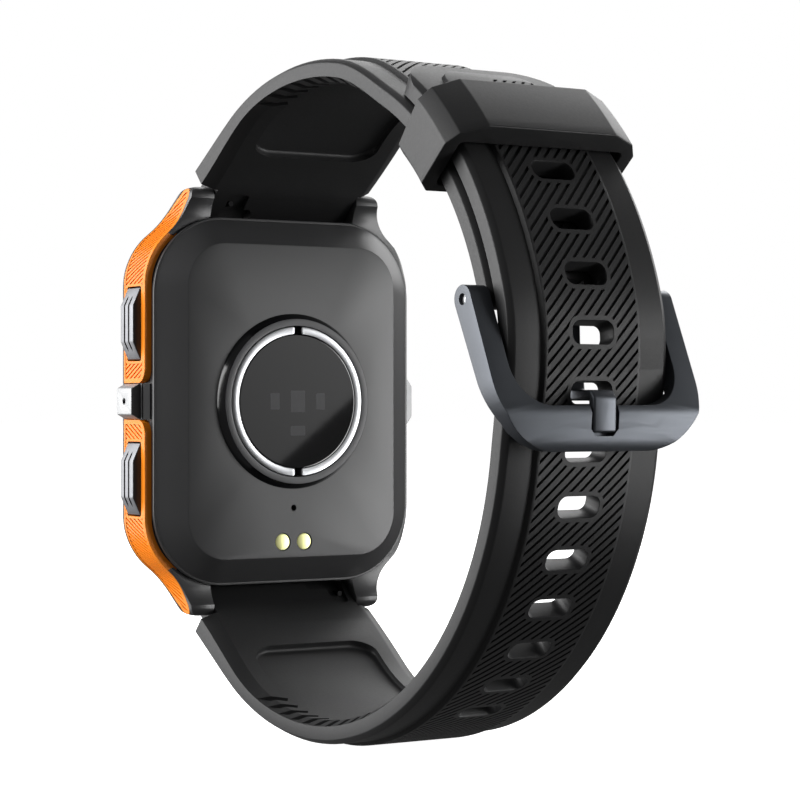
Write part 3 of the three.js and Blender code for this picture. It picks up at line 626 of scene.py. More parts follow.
def along_flank(points):
    """The same outline with its heights turned into lengths along the flank."""
    return [(y, flank_length(z)) for y, z in points]


# ---- band line --------------------------------------------------------------------------------
def smooth(x, low, high):
    """Runs from 0 to 1 between two values, level at both ends."""
    t = min(max((x - low) / (high - low), 0.0), 1.0)
    return t * t * (3 - 2 * t)


def band_line(s):
    """Point (y, z) and outward direction on the band, s mm from the clasp's middle."""
    length = abs(s)
    side = -1 if s < 0 else 1
    angle = length / BAND_R
    y = WRIST_CENTRE_Y + BAND_R * math.cos(angle)
    z = BAND_R * math.sin(angle)
    if length > CIRCLE_LENGTH:
        angle = min(CIRCLE_TO_BEND + (length - CIRCLE_LENGTH) / BEND_R, BEND_TO_STRAIGHT)
        straight = max(0.0, length - CIRCLE_LENGTH - BEND_LENGTH)
        y = BEND_CENTRE_Y + BEND_R * math.cos(angle) - straight * math.sin(angle)
        z = BEND_CENTRE_Z + BEND_R * math.sin(angle) + straight * math.cos(angle)
    return (y, z * side), (math.cos(angle), math.sin(angle) * side)


def upper_lift(s):
    """How far the buckle strap stands off the band line: 1 mm inside it under the tail."""
    return -1 + smooth(s, BAND_R * math.radians(64), BAND_R * math.radians(80))


def lower_lift(s):
    """How far the tail strap stands off the band line: 2 mm outside it over the other strap."""
    return 2 * smooth(s, BAND_R * math.radians(-8), BAND_R * math.radians(16))


def no_lift(s):
    return 0.0


def half_width(s):
    return STRAP_HALF_WIDTH + (SHOULDER_HALF_WIDTH - STRAP_HALF_WIDTH) * smooth(abs(s), 50, 86)


def inner_scale(s):
    return 1 + (SHOULDER_INNER / STRAP_INNER - 1) * smooth(abs(s), 76, SHOULDER_S)


def widening(s):
    """How much the strap's borders are stretched across at s."""
    return (half_width(s) - WIDENING_FROM_X) / (STRAP_HALF_WIDTH - WIDENING_FROM_X)


def spread_border(x, factor):
    """An x whose part past the panel is stretched by a factor."""
    beyond = max(0.0, abs(x) - WIDENING_FROM_X)
    return math.copysign(min(abs(x), WIDENING_FROM_X) + beyond * factor, x)


def flat_x(x, s):
    """Where a finished x lies in the flat blank, before the strap is widened."""
    return spread_border(x, 1 / widening(s))


def bend(bm, lift, widened=True):
    """Wraps a flat blank, with x across, y along and z out, on to the band line."""
    for vert in bm.verts:
        x, s, height = vert.co
        if widened:
            x = spread_border(x, widening(s))
            if height < 0:
                height *= inner_scale(s)
        (y, z), (out_y, out_z) = band_line(s)
        height += lift(s)
        vert.co = (x, y + out_y * height, z + out_z * height)
    return faced_out(bm)


# ---- straps -----------------------------------------------------------------------------------
def along_band(section, s_from, s_to):
    """A section of (x, height) points carried along the flat blank, with x across, y along and z out."""
    body = prism([(h, x) for x, h in section], "X", s_from, s_to)
    for vert in body.verts:
        vert.co = (vert.co.z, vert.co.x, vert.co.y)
    return body


def strap_blank(s0, s1, panel_from, panel_to):
    """The flat band with its chamfered edges and the raised panel down its middle."""
    edge = STRAP_HALF_WIDTH
    half = [(edge - 1.1, STRAP_INNER), (edge, SIDE_FACE_INNER), (edge, 0.0), (edge - 0.7, BORDER_HEIGHT)]
    base = along_band(half + [(-x, h) for x, h in reversed(half)], s0, s1)
    long_edges = [e for e in base.edges if abs(e.verts[0].co.y - e.verts[1].co.y) > 1]
    bevel(base, long_edges, 0.13, 2)
    slope = 0.8
    panel = prism(rounded_rect(PANEL_HALF_WIDTH + slope, (panel_to - panel_from) / 2, 3.0,
                               (0, (panel_from + panel_to) / 2), 6), "Z", -0.5, PANEL_HEIGHT)
    for vert in panel.verts:
        if vert.co.z > 0:
            vert.co.x *= PANEL_HALF_WIDTH / (PANEL_HALF_WIDTH + slope)
    bevel(panel, edges_where(panel.edges, lambda co: co.z > 0), 0.12, 2)
    return shaped(base, [panel], "UNION")


def strap_root(side):
    """The tongue of a strap between the lugs, rounded over the spring bar, at one end of the blank."""
    scale = SHOULDER_INNER / STRAP_INNER
    centre = (KNUCKLE_S, KNUCKLE_H)
    profile = [(SHOULDER_S - 3, 0.0), (SHOULDER_S + 0.4, 0.0)]
    profile += arc(centre, KNUCKLE_R, 82, -90, 14)
    profile += [(SHOULDER_S + 1.2, SHOULDER_INNER), (SHOULDER_S - 3, SHOULDER_INNER)]
    flat = [(s * side, h / scale if h < 0 else h) for s, h in profile]
    half = flat_x(STRAP_HALF_WIDTH - 0.2, SHOULDER_S)
    return prism(flat, "X", -half, half)


def release_notch(side, spans):
    """The L-shaped finger notch over a quick-release lever, in the flat blank."""
    (wide_from, wide_to), (leg_from, leg_to) = spans
    cuts = []
    for x_from, x_to, s_from in ((wide_from, wide_to, 2.9), (leg_from, leg_to, 0.3)):
        low, high = sorted((flat_x(x_from, SHOULDER_S), flat_x(x_to, SHOULDER_S)))
        s_low, s_high = sorted((side * (SHOULDER_S + s_from), side * (SHOULDER_S + 8)))
        outline = rounded_rect((high - low) / 2, (s_high - s_low) / 2, 0.7,
                               ((low + high) / 2, (s_low + s_high) / 2), 5)
        cuts.append(prism(outline, "Z", -6, -2.1))
    return cuts


def channel_tool(s0, s1):
    """What sinks the shallow channel in a strap's inner face, with sloping walls."""
    outline = rounded_rect(CHANNEL_HALF_WIDTH, (s1 - s0) / 2, 2.4, (0, (s0 + s1) / 2), 8)
    tool = prism(outline, "Z", -6, CHANNEL_FLOOR)
    return bevel(tool, edges_where(tool.edges, lambda co: co.z > -3), 0.35, 3)


def rail_cuts(s_from, s_to):
    """The slanted gaps that break both rails of a strap into rub bars."""
    cuts = []
    pitch = 2.6
    count = int(abs(s_to - s_from) / pitch)
    direction = 1 if s_to > s_from else -1
    for i in range(count):
        middle = s_from + direction * pitch * (i + 0.5)
        for side in (1, -1):
            inner, outer = 7.6 * side, 11.4 * side
            lean = 1.4 * direction
            outline = [(inner, middle - 0.6 + lean), (outer, middle - 0.6 - lean),
                       (outer, middle + 0.6 - lean), (inner, middle + 0.6 + lean)]
            cuts.append(prism(outline, "Z", -6, SIDE_FACE_INNER - 0.02))
    return cuts


def slot_outline(middle, grow=0.0):
    return rounded_rect(SLOT_HALF_LENGTH + grow, SLOT_HALF_WIDTH + grow, 0.95 + grow, (0, middle), 8)


def slot_mouth(middle):
    """What rounds off the outer edge of a slot."""
    tool = prism(slot_outline(middle, 0.3), "Z", PANEL_HEIGHT - 0.22, PANEL_HEIGHT + 0.5)
    for vert in tool.verts:
        if vert.co.z < PANEL_HEIGHT:
            vert.co.x *= (SLOT_HALF_LENGTH - 0.01) / (SLOT_HALF_LENGTH + 0.3)
            vert.co.y = middle + (vert.co.y - middle) * (SLOT_HALF_WIDTH - 0.01) / (SLOT_HALF_WIDTH + 0.3)
    return tool


def groove_bars(s_from, s_to, keep_clear=()):
    """Diagonal grooves across the panel, stopping short of the rims of the slots."""
    setting = sizes()
    reach = PANEL_HALF_WIDTH - 0.35
    rise = reach * math.tan(setting.groove_angle)
    half = setting.groove_width / 2
    bars = []
    count = int((s_to - s_from) / setting.groove_pitch)
    for i in range(count + 1):
        s = s_from + i * setting.groove_pitch
        outline = [(-reach, s + rise - half), (-reach, s + rise + half),
                   (reach, s - rise + half), (reach, s - rise - half)]
        bars.append(prism(outline, "Z", PANEL_HEIGHT - setting.groove_depth, PANEL_HEIGHT + 1))
    bars = together(bars)
    limits = prism(rounded_rect(PANEL_HALF_WIDTH, (s_to - s_from) / 2, 1.0, (0, (s_from + s_to) / 2), 4),
                   "Z", -1, PANEL_HEIGHT + 2)
    bars = shaped(bars, [limits], "INTERSECT")
    if keep_clear:
        rims = together([prism(slot_outline(s, 0.55), "Z", -1, PANEL_HEIGHT + 2) for s in keep_clear])
        bars = shaped(bars, [rims])
    return bars


def slant_end(bm, side):
    """Cuts the strap's shoulders back on the wrist side, where they clear the case."""
    for vert in bm.verts:
        if abs(vert.co.y) > SHOULDER_S - 1e-3:
            vert.co.y -= side * 0.25 * abs(min(vert.co.z, 0.0))


def make_upper_strap():
    blank = strap_blank(PIN_S, SHOULDER_S, PIN_S + 1.5, 76)
    slant_end(blank, 1)
    blank = shaped(blank, [strap_root(1)], "UNION")
    tools = [channel_tool(PIN_S + 5, CHANNEL_END_S), groove_bars(PIN_S + 3, 66)]
    tools.append(together(rail_cuts(75.5, PIN_S + 8)))
    tools += release_notch(1, ((4.1, 8.9), (5.5, 8.4)))
    tools.append(block((-1.9, 1.9), (PIN_S - 4, PIN_S + 2.2), (-6, 4)))
    blank = shaped(blank, tools)
    sliced(blank, "Y", PIN_S, SHOULDER_S, 1.3)
    band = bend(blank, upper_lift)
    knuckle = [rod(1.1, side[0], side[1], (PIN.y, PIN.z)) for side in ((-11, -1.9), (1.9, 11))]
    bore = rod(0.65, -12, 12, (PIN.y, PIN.z))
    band = shaped(shaped(band, knuckle, "UNION"), [bore])
    return finish_piece("buckle_strap", band, strap_silicone(), "case", ["upper_strap"])


def tail_tip_tool():
    """What rounds the free end of the tail."""
    radius = 6.0
    edge = STRAP_HALF_WIDTH
    tools = []
    for side in (1, -1):
        round_part = arc((edge - radius, TAIL_TIP_S - radius), radius, 90, 0, 12)
        outline = [(edge + 1, TAIL_TIP_S - radius), (edge + 1, TAIL_TIP_S + 1), (edge - radius, TAIL_TIP_S + 1)]
        outline = [(side * x, s) for x, s in outline + round_part]
        tools.append(prism(outline, "Z", -8, 8))
    return tools


def make_lower_strap():
    slots = [SLOT_USED_S + SLOT_STEP * (k - 7) for k in range(14)]
    blank = strap_blank(-SHOULDER_S, TAIL_TIP_S, -76, TAIL_TIP_S - 2.5)
    slant_end(blank, -1)
    blank = shaped(blank, [strap_root(-1)], "UNION")
    tools = [channel_tool(-CHANNEL_END_S, TAIL_TIP_S + 5), groove_bars(-70, TAIL_TIP_S - 4, slots)]
    tools.append(together([prism(slot_outline(s), "Z", -6, PANEL_HEIGHT + 1) for s in slots]))
    tools.append(together([slot_mouth(s) for s in slots]))
    tools.append(together(rail_cuts(-75.5, -48)))
    tools += release_notch(-1, ((-4.4, -10.1), (-7.5, -10.0)))
    tools += tail_tip_tool()
    blank = shaped(blank, tools)
    sliced(blank, "Y", -SHOULDER_S, TAIL_TIP_S, 1.3)
    band = bend(blank, lower_lift)
    return finish_piece("tail_strap", band, strap_silicone(), "case", ["lower_strap"])


def make_keeper():
    """The loose loop that holds the tail, thick and softly bevelled."""
    s_from, s_to = (BAND_R * math.radians(a) for a in (40.2, 50.5))
    half = [(12.1, -4.6), (13.3, -3.4), (13.3, 2.8), (12.1, 4.6), (8.9, 6.0)]
    outer = half + [(-x, h) for x, h in reversed(half)]
    window = [(11.4, -3.5), (11.4, 3.25), (-11.4, 3.25), (-11.4, -3.5)]
    loop, hole = along_band(outer, s_from, s_to), along_band(window, s_from - 1, s_to + 1)
    for body in (loop, hole):
        bmesh.ops.recalc_face_normals(body, faces=body.faces)
    bevel(hole, [e for e in hole.edges if abs(e.verts[0].co.y - e.verts[1].co.y) > 1], 0.6, 3)
    loop = shaped(loop, [hole])
    bmesh.ops.dissolve_limit(loop, angle_limit=0.01, verts=loop.verts, edges=loop.edges)
    bevel(loop, sharp_edges(loop, 20), 0.45, 4)
    sliced(loop, "Y", s_from, s_to, 1.2)
    bend(loop, no_lift, widened=False)
    return finish_piece("strap_keeper", loop, strap_silicone(), "keeper", ["keeper"], 40)


class WATCH_OT_straps(bpy.types.Operator):
    """Make both strap halves and the keeper"""

    bl_idname = "watch.straps"
    bl_label = "Straps"

    def execute(self, context):
        make_upper_strap()
        make_lower_strap()
        make_keeper()
        return {"FINISHED"}


# ---- case pieces ------------------------------------------------------------------------------
TRIM_DEPTH = 1.0
FIELD_DEPTH = 0.3
BUTTON_MIDDLE = (BUTTON_LOW.z + BUTTON_HIGH.z) / 2
BUTTON_FRONT_Y, BUTTON_BACK_Y = BUTTON_LOW.y, BUTTON_HIGH.y
BUTTON_Y = (BUTTON_FRONT_Y + BUTTON_BACK_Y) / 2
BUTTON_TOP_X = BUTTON_HIGH.x
BUTTON_HALF = (BUTTON_HIGH.z - BUTTON_LOW.z) / 2
TRIM_BACK = {1: (0.0, 0.9), -1: (-1.0, 0.0)}  # how far the back edge is moved, and its tuck at the lug
TRIM_STARTS = {1: TRIM_LOW.z, -1: node_box("trim_left_upper")[0].z}


def wrap_flank(bm):
    """Bends a flat strip, with x out of the flank and z along it, round the case's flank."""
    for vert in bm.verts:
        (x, z), (out_x, out_z) = flank_line(vert.co.z)
        height = vert.co.x
        vert.co = (x + out_x * height, vert.co.y, z + out_z * height)
    return bm


def mirrored(bm, side, end):
    """The body on the side and end of the case that the signs give."""
    bmesh.ops.scale(bm, vec=(side, 1, end), verts=bm.verts)
    return faced_out(bm)


def button_recess(grow, depth):
    """The opening for a button in the flat trim."""
    half_y = (BUTTON_BACK_Y - BUTTON_FRONT_Y) / 2 + 0.2 + grow
    outline = rounded_rect(half_y, BUTTON_HALF + 0.2 + grow, 0.35, (BUTTON_Y, BUTTON_MIDDLE), 4)
    return prism(outline, "X", depth, 2)


def make_trim(name, side, end):
    """A trim piece: a chamfered band along the back, and a sunk field of fine diagonal ribs."""
    start = TRIM_STARTS[side]
    back, tuck = TRIM_BACK[side]
    length = flank_length(TRIM_HIGH.z)
    blank = prism(along_flank(trim_side(back, 0, start, 1.9, tuck)), "X", -TRIM_DEPTH, 0)
    back_rim = edges_where(blank.edges, lambda co: co.x > -0.01 and co.y > back - 5.2 and co.z < length - 1.2)
    bevel(blank, back_rim, 0.4 if side > 0 else 0.6, 1)
    front_rim = edges_where(blank.edges, lambda co: co.x > -0.01 and co.y < -5.4)
    bevel(blank, [e for e in front_rim if e.calc_face_angle(0) > 1], 0.2, 3)
    field = prism(along_flank(trim_side(back - 0.7, -0.45, start + 0.6, 1.3, tuck)), "X", -FIELD_DEPTH, 1)
    rib_side = trim_side(back - 0.68, -0.43, start + 0.58, 1.32, tuck)
    inside = prism(along_flank(rib_side), "X", -FIELD_DEPTH - 0.5, 1)
    pitch = sizes().rib_pitch
    ribs = []
    for i in range(int((length - start + 6) / pitch)):
        z = start - 1 + i * pitch
        line = [(-11, z - 1.4), (-11, z - 1.4 + pitch * 0.6), (-2, z + 3.45 + pitch * 0.6), (-2, z + 3.45)]
        ribs.append(prism(line, "X", -FIELD_DEPTH - 0.1, -0.06))
    ribs = shaped(together(ribs), [inside], "INTERSECT")
    if side > 0:
        field = shaped(field, [button_recess(0.3, -2)])
        ribs = shaped(ribs, [button_recess(0.2, -2)])
    trim = shaped(shaped(blank, [field]), [ribs], "UNION")
    if side > 0:
        trim = shaped(trim, [button_recess(0, -TRIM_DEPTH - 1)])
    sliced(trim, "Z", FLANK_STRAIGHT_Z, length, 0.7)
    wrap_flank(trim)
    mirrored(trim, side, end)
    return finish_piece(name, trim, trim_plastic(), "case", [name])


class WATCH_OT_trims(bpy.types.Operator):
    """Make the four orange trim pieces on the flanks"""

    bl_idname = "watch.trims"
    bl_label = "Side Trims"

    def execute(self, context):
        for side_name, side in (("right", 1), ("left", -1)):
            for end_name, end in (("upper", 1), ("lower", -1)):
                make_trim(f"trim_{side_name}_{end_name}", side, end)
        return {"FINISHED"}


def button_well(end):
    """The pocket in the middle case that a button sinks into."""
    z = end * BUTTON_MIDDLE
    span = (z - BUTTON_HALF - 0.3, z + BUTTON_HALF + 0.3)
    pocket = block((18.4, 25), (BUTTON_FRONT_Y - 0.3, BUTTON_BACK_Y + 0.3), span)
    return [pocket, rod(1.65, 17.2, 20, (BUTTON_Y, z)), rod(0.88, 15, 20, (BUTTON_Y, z))]


def make_mid_case():
    """The middle case: a body that narrows towards the screen, and four lugs that follow the trims."""
    wide, narrow = rounded_rect(20.3, 24, 9.4, steps=24), rounded_rect(19.4, 24, 8.6, steps=24)
    core = stack([(narrow, CASE_LOW.y), (wide, TRIM_LOW.y - 0.05), (wide, CASE_BACK_Y)])
    side = trim_side(0, LUG_EDGE, 0, 0)
    side[1:2] = [(CASE_BACK_Y - 0.8, 0), (CASE_BACK_Y - 0.8, 5), (CASE_BACK_Y, 5.4)]
    lugs = shaped(prism(case_outline(), "Y", -12, -2), [prism(side, "X", -22, 22)], "INTERSECT")
    bevel(lugs, edges_where(sharp_edges(lugs, 50), lambda co: co.z > 17), sizes().edge_radius, 2)
    lower = lugs.copy()
    bmesh.ops.scale(lower, vec=(1, 1, -1), verts=lower.verts)
    bmesh.ops.recalc_face_normals(lower, faces=lower.faces)
    shell = shaped(core, [lugs, lower], "UNION")
    tools = [
        prism(rounded_rect(16.3, 21.6, 6), "Y", CASE_LOW.y + 1.2, 0),
        prism(rounded_rect(13, 16.5, 3), "Y", -20, 0),
        prism(rounded_rect(19.65, 24.45, 10.4, steps=20), "Y", CASE_BACK_Y, 0),
        block((-LUG_GAP_HALF, LUG_GAP_HALF), (-13, 0), (LUG_GAP_END_Z, 30)),
        block((-LUG_GAP_HALF, LUG_GAP_HALF), (-13, 0), (-30, -LUG_GAP_END_Z)),
    ]
    for flank in (1, -1):
        for end in (1, -1):
            back, tuck = TRIM_BACK[flank]
            outline = trim_side(back + 0.08, 0.08, TRIM_STARTS[flank] - 0.08, 0, tuck)
            seat = prism(along_flank(outline), "X", -TRIM_DEPTH - 0.02, 3)
            sliced(seat, "Z", FLANK_STRAIGHT_Z, 30, 1.0)
            tools.append(mirrored(wrap_flank(seat), flank, end))
            edge = prism([(0.1, -5.25), (0.1, -4.3), (-0.85, -4.3)], "Z", -1, flank_length(23))
            sliced(edge, "Z", FLANK_STRAIGHT_Z, flank_length(23), 0.8)
            for vert in edge.verts:
                vert.co.x += max(vert.co.z - 18, 0) * 0.2
            tools.append(mirrored(wrap_flank(edge), flank, end))
    for end in (1, -1):
        tools += button_well(end)
        tools.append(rod(0.5, -12.2, 12.2, (SPRING_BAR_Y, end * SPRING_BAR_Z)))
    span = (MIC_LOW.y - 0.2, MIC_HIGH.y + 0.2)
    tools.append(block((CASE_HALF_WIDTH - 0.8, 25), span, (-2.5, 2.5)))
    tools.append(rod(0.45, 15, 25, (MIC_Y, 0)))
    tools.append(block((-25, -CASE_HALF_WIDTH + 0.8), span, (-3.8, 3.8)))
    shell = shaped(shell, tools)
    return finish_piece("middle_case", shell, case_plastic(), "case", ["mid_case"])


def make_front_bezel():
    front = BEZEL_LOW.y
    size = (BEZEL_LOW.x * -1, BEZEL_HIGH.z, 8.6)
    rings = []
    for share, y in ((0, BEZEL_HIGH.y), (0.75, front + 0.4), (0.9, front + 0.12), (1.15, front)):
        rings.append((rounded_rect(size[0] - 1.1 * share, size[1] - share, size[2] - 0.8 * share, steps=20), y))
    body = shaped(stack(rings[::-1]), [prism(rounded_rect(13.6, 17.1, 3, steps=14), "Y", -20, 0)])
    bevel(body, edges_where(sharp_edges(body, 60), lambda co: abs(co.y - front) < 0.02), 0.12, 2)
    return finish_piece("screen_bezel", body, case_plastic(), "case", ["front_bezel"])


def make_display_glass():
    front, back = GLASS_LOW.y, GLASS_HIGH.y
    half_x, half_z = GLASS_HIGH.x, GLASS_HIGH.z
    edge = ((0.5, front), (0.4, front), (0.18, front + 0.05), (0.04, front + 0.2), (0.0, front + 0.4),
            (0.0, back))
    glass = stack([(rounded_rect(half_x - g, half_z - g, 2.9 - g, steps=16), y) for g, y in edge])
    return finish_piece("cover_glass", glass, screen_glass(), "case", ["display_glass"])


COVER_FLAT = (15.75, 20.7, 5.6)
COVER_LIP = (19.6, 24.3, 10.3)


def cover_ring(share, y):
    """The back cover's outline, from its flat at 0 to its lip at 1."""
    half_x, half_z, radius = (flat + (lip - flat) * share for flat, lip in zip(COVER_FLAT, COVER_LIP))
    return rounded_rect(half_x, half_z, radius, steps=24), y


def make_back_cover():
    """The dished cover: an upright wall with a narrow lip, a straight bevel and a flat for the sensor."""
    flat = PLATE_Y
    cover = stack([
        cover_ring(0.99, SEAM_Y), cover_ring(1, SEAM_Y + 0.06), cover_ring(1, LIP_Y - 0.1),
        cover_ring(0.99, LIP_Y), cover_ring(0.965, LIP_Y + 0.03), cover_ring(0.915, LIP_Y + 0.05),
        cover_ring(0.9, LIP_Y + 0.1), cover_ring(0.05, flat - 0.12), cover_ring(0.02, flat - 0.04),
        cover_ring(-0.02, flat),
    ])
    tools = [rod(SENSOR_BASE_R - 0.9, -10, 1, (0, 0), "Y", 96), rod(0.38, -10, 0, (0, VENT_Z), "Y", 24)]
    for x in (CONTACT_X, -CONTACT_X):
        tools.append(rod(1.15, -10, 0, (x, CONTACT_Z), "Y", 40))
    tools.append(prism(rounded_rect(14.2, 19, 4.5), "Y", -10, flat - 1.3))
    cover = shaped(cover, tools)
    bevel(cover, edges_where(sharp_edges(cover, 60), lambda co: abs(co.y - flat) < 1e-3), 0.06, 2)
    return finish_piece("back_cover_shell", cover, cover_plastic(), "case", ["back_cover"], 20)


def make_seal():
    low, high = node_box("back_cover_seal")
    outline = [(rounded_rect(high.x - g, high.z - g, 9.6 - g, steps=16), y) for g, y in (
        (0.08, low.y), (0.0, low.y + 0.08), (0.0, high.y - 0.08), (0.08, high.y))]
    seal = shaped(stack(outline), [prism(rounded_rect(17, 22, 6.5), "Y", -10, 0)])
    return finish_piece("cover_seal", seal, seal_rubber(), "case", ["back_cover_seal"])


class WATCH_OT_case(bpy.types.Operator):
    """Make the middle case, screen bezel, glass, back cover and its seal"""

    bl_idname = "watch.case"
    bl_label = "Case"

    def execute(self, context):
        make_mid_case()
        make_front_bezel()
        make_display_glass()
        make_back_cover()
        make_seal()
        return {"FINISHED"}


# ---- buttons and side plates ------------------------------------------------------------------
def make_button(name, body, end):
    """A cap with three ridges and sloping ends on its stem, its flanks and groove walls painted near black as
    shade.
    """
    z = end * BUTTON_MIDDLE
    top, foot = BUTTON_TOP_X, 19.2
    half = BUTTON_HALF
    outline = [(foot, -half), (top - 1.1, -half), (top, -half / 2),
               (top, half / 2), (top - 1.1, half), (foot, half)]
    cap = prism(outline, "Y", BUTTON_FRONT_Y, BUTTON_BACK_Y)
    bevel(cap, edges_where(cap.edges, lambda co: co.x > foot + 0.1), 0.13, 3)
    width = (BUTTON_BACK_Y - BUTTON_FRONT_Y) / 3
    grooves = []
    for i in (1, 2):
        y = BUTTON_FRONT_Y + width * i
        profile = [(top + 1, y - 0.2), (top - 0.4, y - 0.2), (top - 0.62, y),
                   (top - 0.4, y + 0.2), (top + 1, y + 0.2)]
        grooves.append(prism(profile, "Z", -half - 1, half + 1))
    cap = shaped(cap, grooves)
    bmesh.ops.translate(cap, vec=(0, 0, z), verts=cap.verts)
    stem = rod(0.8, 14.95, foot + 0.5, (BUTTON_Y, z))
    groove = shaped(rod(2, 15.9, 16.3, (BUTTON_Y, z)), [rod(0.6, 15, 17, (BUTTON_Y, z))])
    cap = shaped(shaped(cap, [stem], "UNION"), [groove])
    piece = finish_piece(name + "_shell", cap, button_aluminium(), body, [name], 25)
    # Painted shade: faces turned to the front or back, and groove walls below the crest, take the near-black
    # finish.
    shade_below = (top - 0.3) * MM
    return second_finish(piece, button_painted_shade(), lambda face: abs(face.normal.y) > 0.9 or (
        face.center.x < shade_below and abs(face.normal.y) > 0.3))


def make_side_plate(name, slot_node, side, half_base, half_crest, box_low, box_high, hole):
    """A raised plate at mid height of a flank, with sloping upper and lower ends."""
    crest = box_high.x if side > 0 else -box_low.x
    base = CASE_HALF_WIDTH + 0.2
    outline = [(base - 0.9, -half_base), (base, -half_base), (crest, -half_crest), (crest, half_crest),
               (base, half_base), (base - 0.9, half_base)]
    plate = prism([(side * x, z) for x, z in outline], "Y", box_low.y, box_high.y)
    bevel(plate, edges_where(plate.edges, lambda co: abs(co.x) > base - 0.1), 0.14, 3)
    if hole:
        plate = shaped(plate, [rod(0.42, 15, 25, (MIC_Y, 0), steps=32)])
        bevel(plate, edges_where(sharp_edges(plate, 60), lambda co: abs(co.x - crest) < 1e-3), 0.07, 2)
    piece = finish_piece(name, plate, plate_steel(), "case", [slot_node], 25)
    return second_finish(piece, case_plastic(), lambda face: hole and abs(face.normal.y) > 0.8)


def plate_steel():
    # Bead-blasted stainless steel: an even pale grey without streaks.
    return textured("plate_blasted_steel", "a2a3a4", "b0b1b2", (0.42, 0.54), 3.0, 0.12, 0.004, Metallic=0.35)


class WATCH_OT_buttons(bpy.types.Operator):
    """Make both button caps and the two side plates"""

    bl_idname = "watch.buttons"
    bl_label = "Buttons and Side Plates"

    def execute(self, context):
        make_button("button_cap_upper", "button_upper", 1)
        make_button("button_cap_lower", "button_lower", -1)
        make_side_plate("microphone_plate", "microphone_port_plate", 1, 2.3, 1.7, MIC_LOW, MIC_HIGH, True)
        make_side_plate("side_plate", "left_side_plate", -1, 3.6, 2.1, LEFT_LOW, LEFT_HIGH, False)
        return {"FINISHED"}


# ---- sensor -----------------------------------------------------------------------------------
WINDOWS = ((0, 0, 2.2, 2.9), (3.5, 0, 1.4, 2.2), (-3.5, 0, 1.4, 2.2), (0, -3.9, 2.3, 1.3))


def make_sensor_bezel():
    base = SENSOR_BASE_R
    profile = [
        (base - 1.65, -2.6), (base - 1.65, -0.1), (base - 1.6, -0.02), (base - 1.5, 0.0), (base - 0.8, 0.0),
        (base - 0.7, -0.03), (base - 0.62, -0.12), (base - 0.06, PLATE_Y + 0.12), (base, PLATE_Y + 0.01),
        (base - 1, PLATE_Y + 0.01), (base - 1, -2.9), (8, -2.9), (8, -2.6),
    ]
    ring = lathe(profile, 160)
    ring = finish_piece("sensor_ring", ring, bezel_gloss(), "case", ["sensor_bezel"], 25)
    crest_y = -0.06 * MM
    return second_finish(ring, bezel_satin(), lambda face: face.normal.y > 0.9 and face.center.y > crest_y)


def make_sensor_lens():
    profile = [(0.0, -1.2), (LENS_R, -1.2), (LENS_R, -0.07), (LENS_R - 0.03, -0.02), (LENS_R - 0.1, 0.0),
               (LENS_R - 0.14, 0.0), (0.0, 0.0)]
    lens = lathe(profile, 160)
    windows = []
    for x, z, width, height in WINDOWS:
        windows.append(prism(rounded_rect(width / 2, height / 2, 0.15, (x, z), 4), "Y", -0.6, 0.004))
    lens = shaped(lens, [together(windows)], "UNION")
    piece = finish_piece("sensor_glass", lens, lens_glass(), "case", ["sensor_lens"], 25)
    return second_finish(piece, window_glass(), lambda face: face.center.y > 0.002 * MM)


def make_electrode(name, side):
    """Half a ring with softly rounded ends."""
    outer, inner = ELECTRODE_R, ELECTRODE_R - 1
    gap = 0.5
    outer_turn = math.degrees(math.acos(gap / outer))
    inner_turn = math.degrees(math.acos(gap / inner))
    outline = arc((0, 0), outer, -outer_turn, outer_turn, 90) + arc((0, 0), inner, inner_turn, -inner_turn, 90)
    ring = prism([(side * x, z) for x, z in outline], "Y", -1.2, 0.0)
    ends = edges_where(ring.edges, lambda co: abs(co.x) < gap + 0.01)
    bevel(ring, [e for e in ends if abs(e.verts[0].co.y - e.verts[1].co.y) > 1], 0.22, 4)
    bevel(ring, edges_where(sharp_edges(ring, 60), lambda co: co.y > -0.01), 0.07, 2)
    return finish_piece(name + "_plate", ring, electrode_steel(), "case", [name], 25)


def make_contact(name, x):
    """A spring contact's flat head on its plunger."""
    face = CONTACT_TOP_Y
    profile = [(0.0, -3.6), (0.6, -3.6), (0.6, -2.2), (1.1, -2.2), (1.1, face - 0.1), (1.06, face - 0.03),
               (0.98, face), (0.0, face)]
    pad = lathe(profile, 48, (x, CONTACT_Z))
    return finish_piece(name + "_pad", pad, contact_gold(), "case", [name], 25)


class WATCH_OT_sensor(bpy.types.Operator):
    """Make the heart-rate sensor's ring, glass and electrodes, and the charging pads"""

    bl_idname = "watch.sensor"
    bl_label = "Sensor and Contacts"

    def execute(self, context):
        make_sensor_bezel()
        make_sensor_lens()
        make_electrode("electrode_right", 1)
        make_electrode("electrode_left", -1)
        make_contact("charge_contact_right", CONTACT_X)
        make_contact("charge_contact_left", -CONTACT_X)
        return {"FINISHED"}


# ---- buckle -----------------------------------------------------------------------------------
BAR_INNER = (64.35, -0.4)
BAR_HEIGHT = 4.9
BAR_THICKNESS = 2.3
LEG_WIDTH = 2.7
LEG_END_R = 1.6


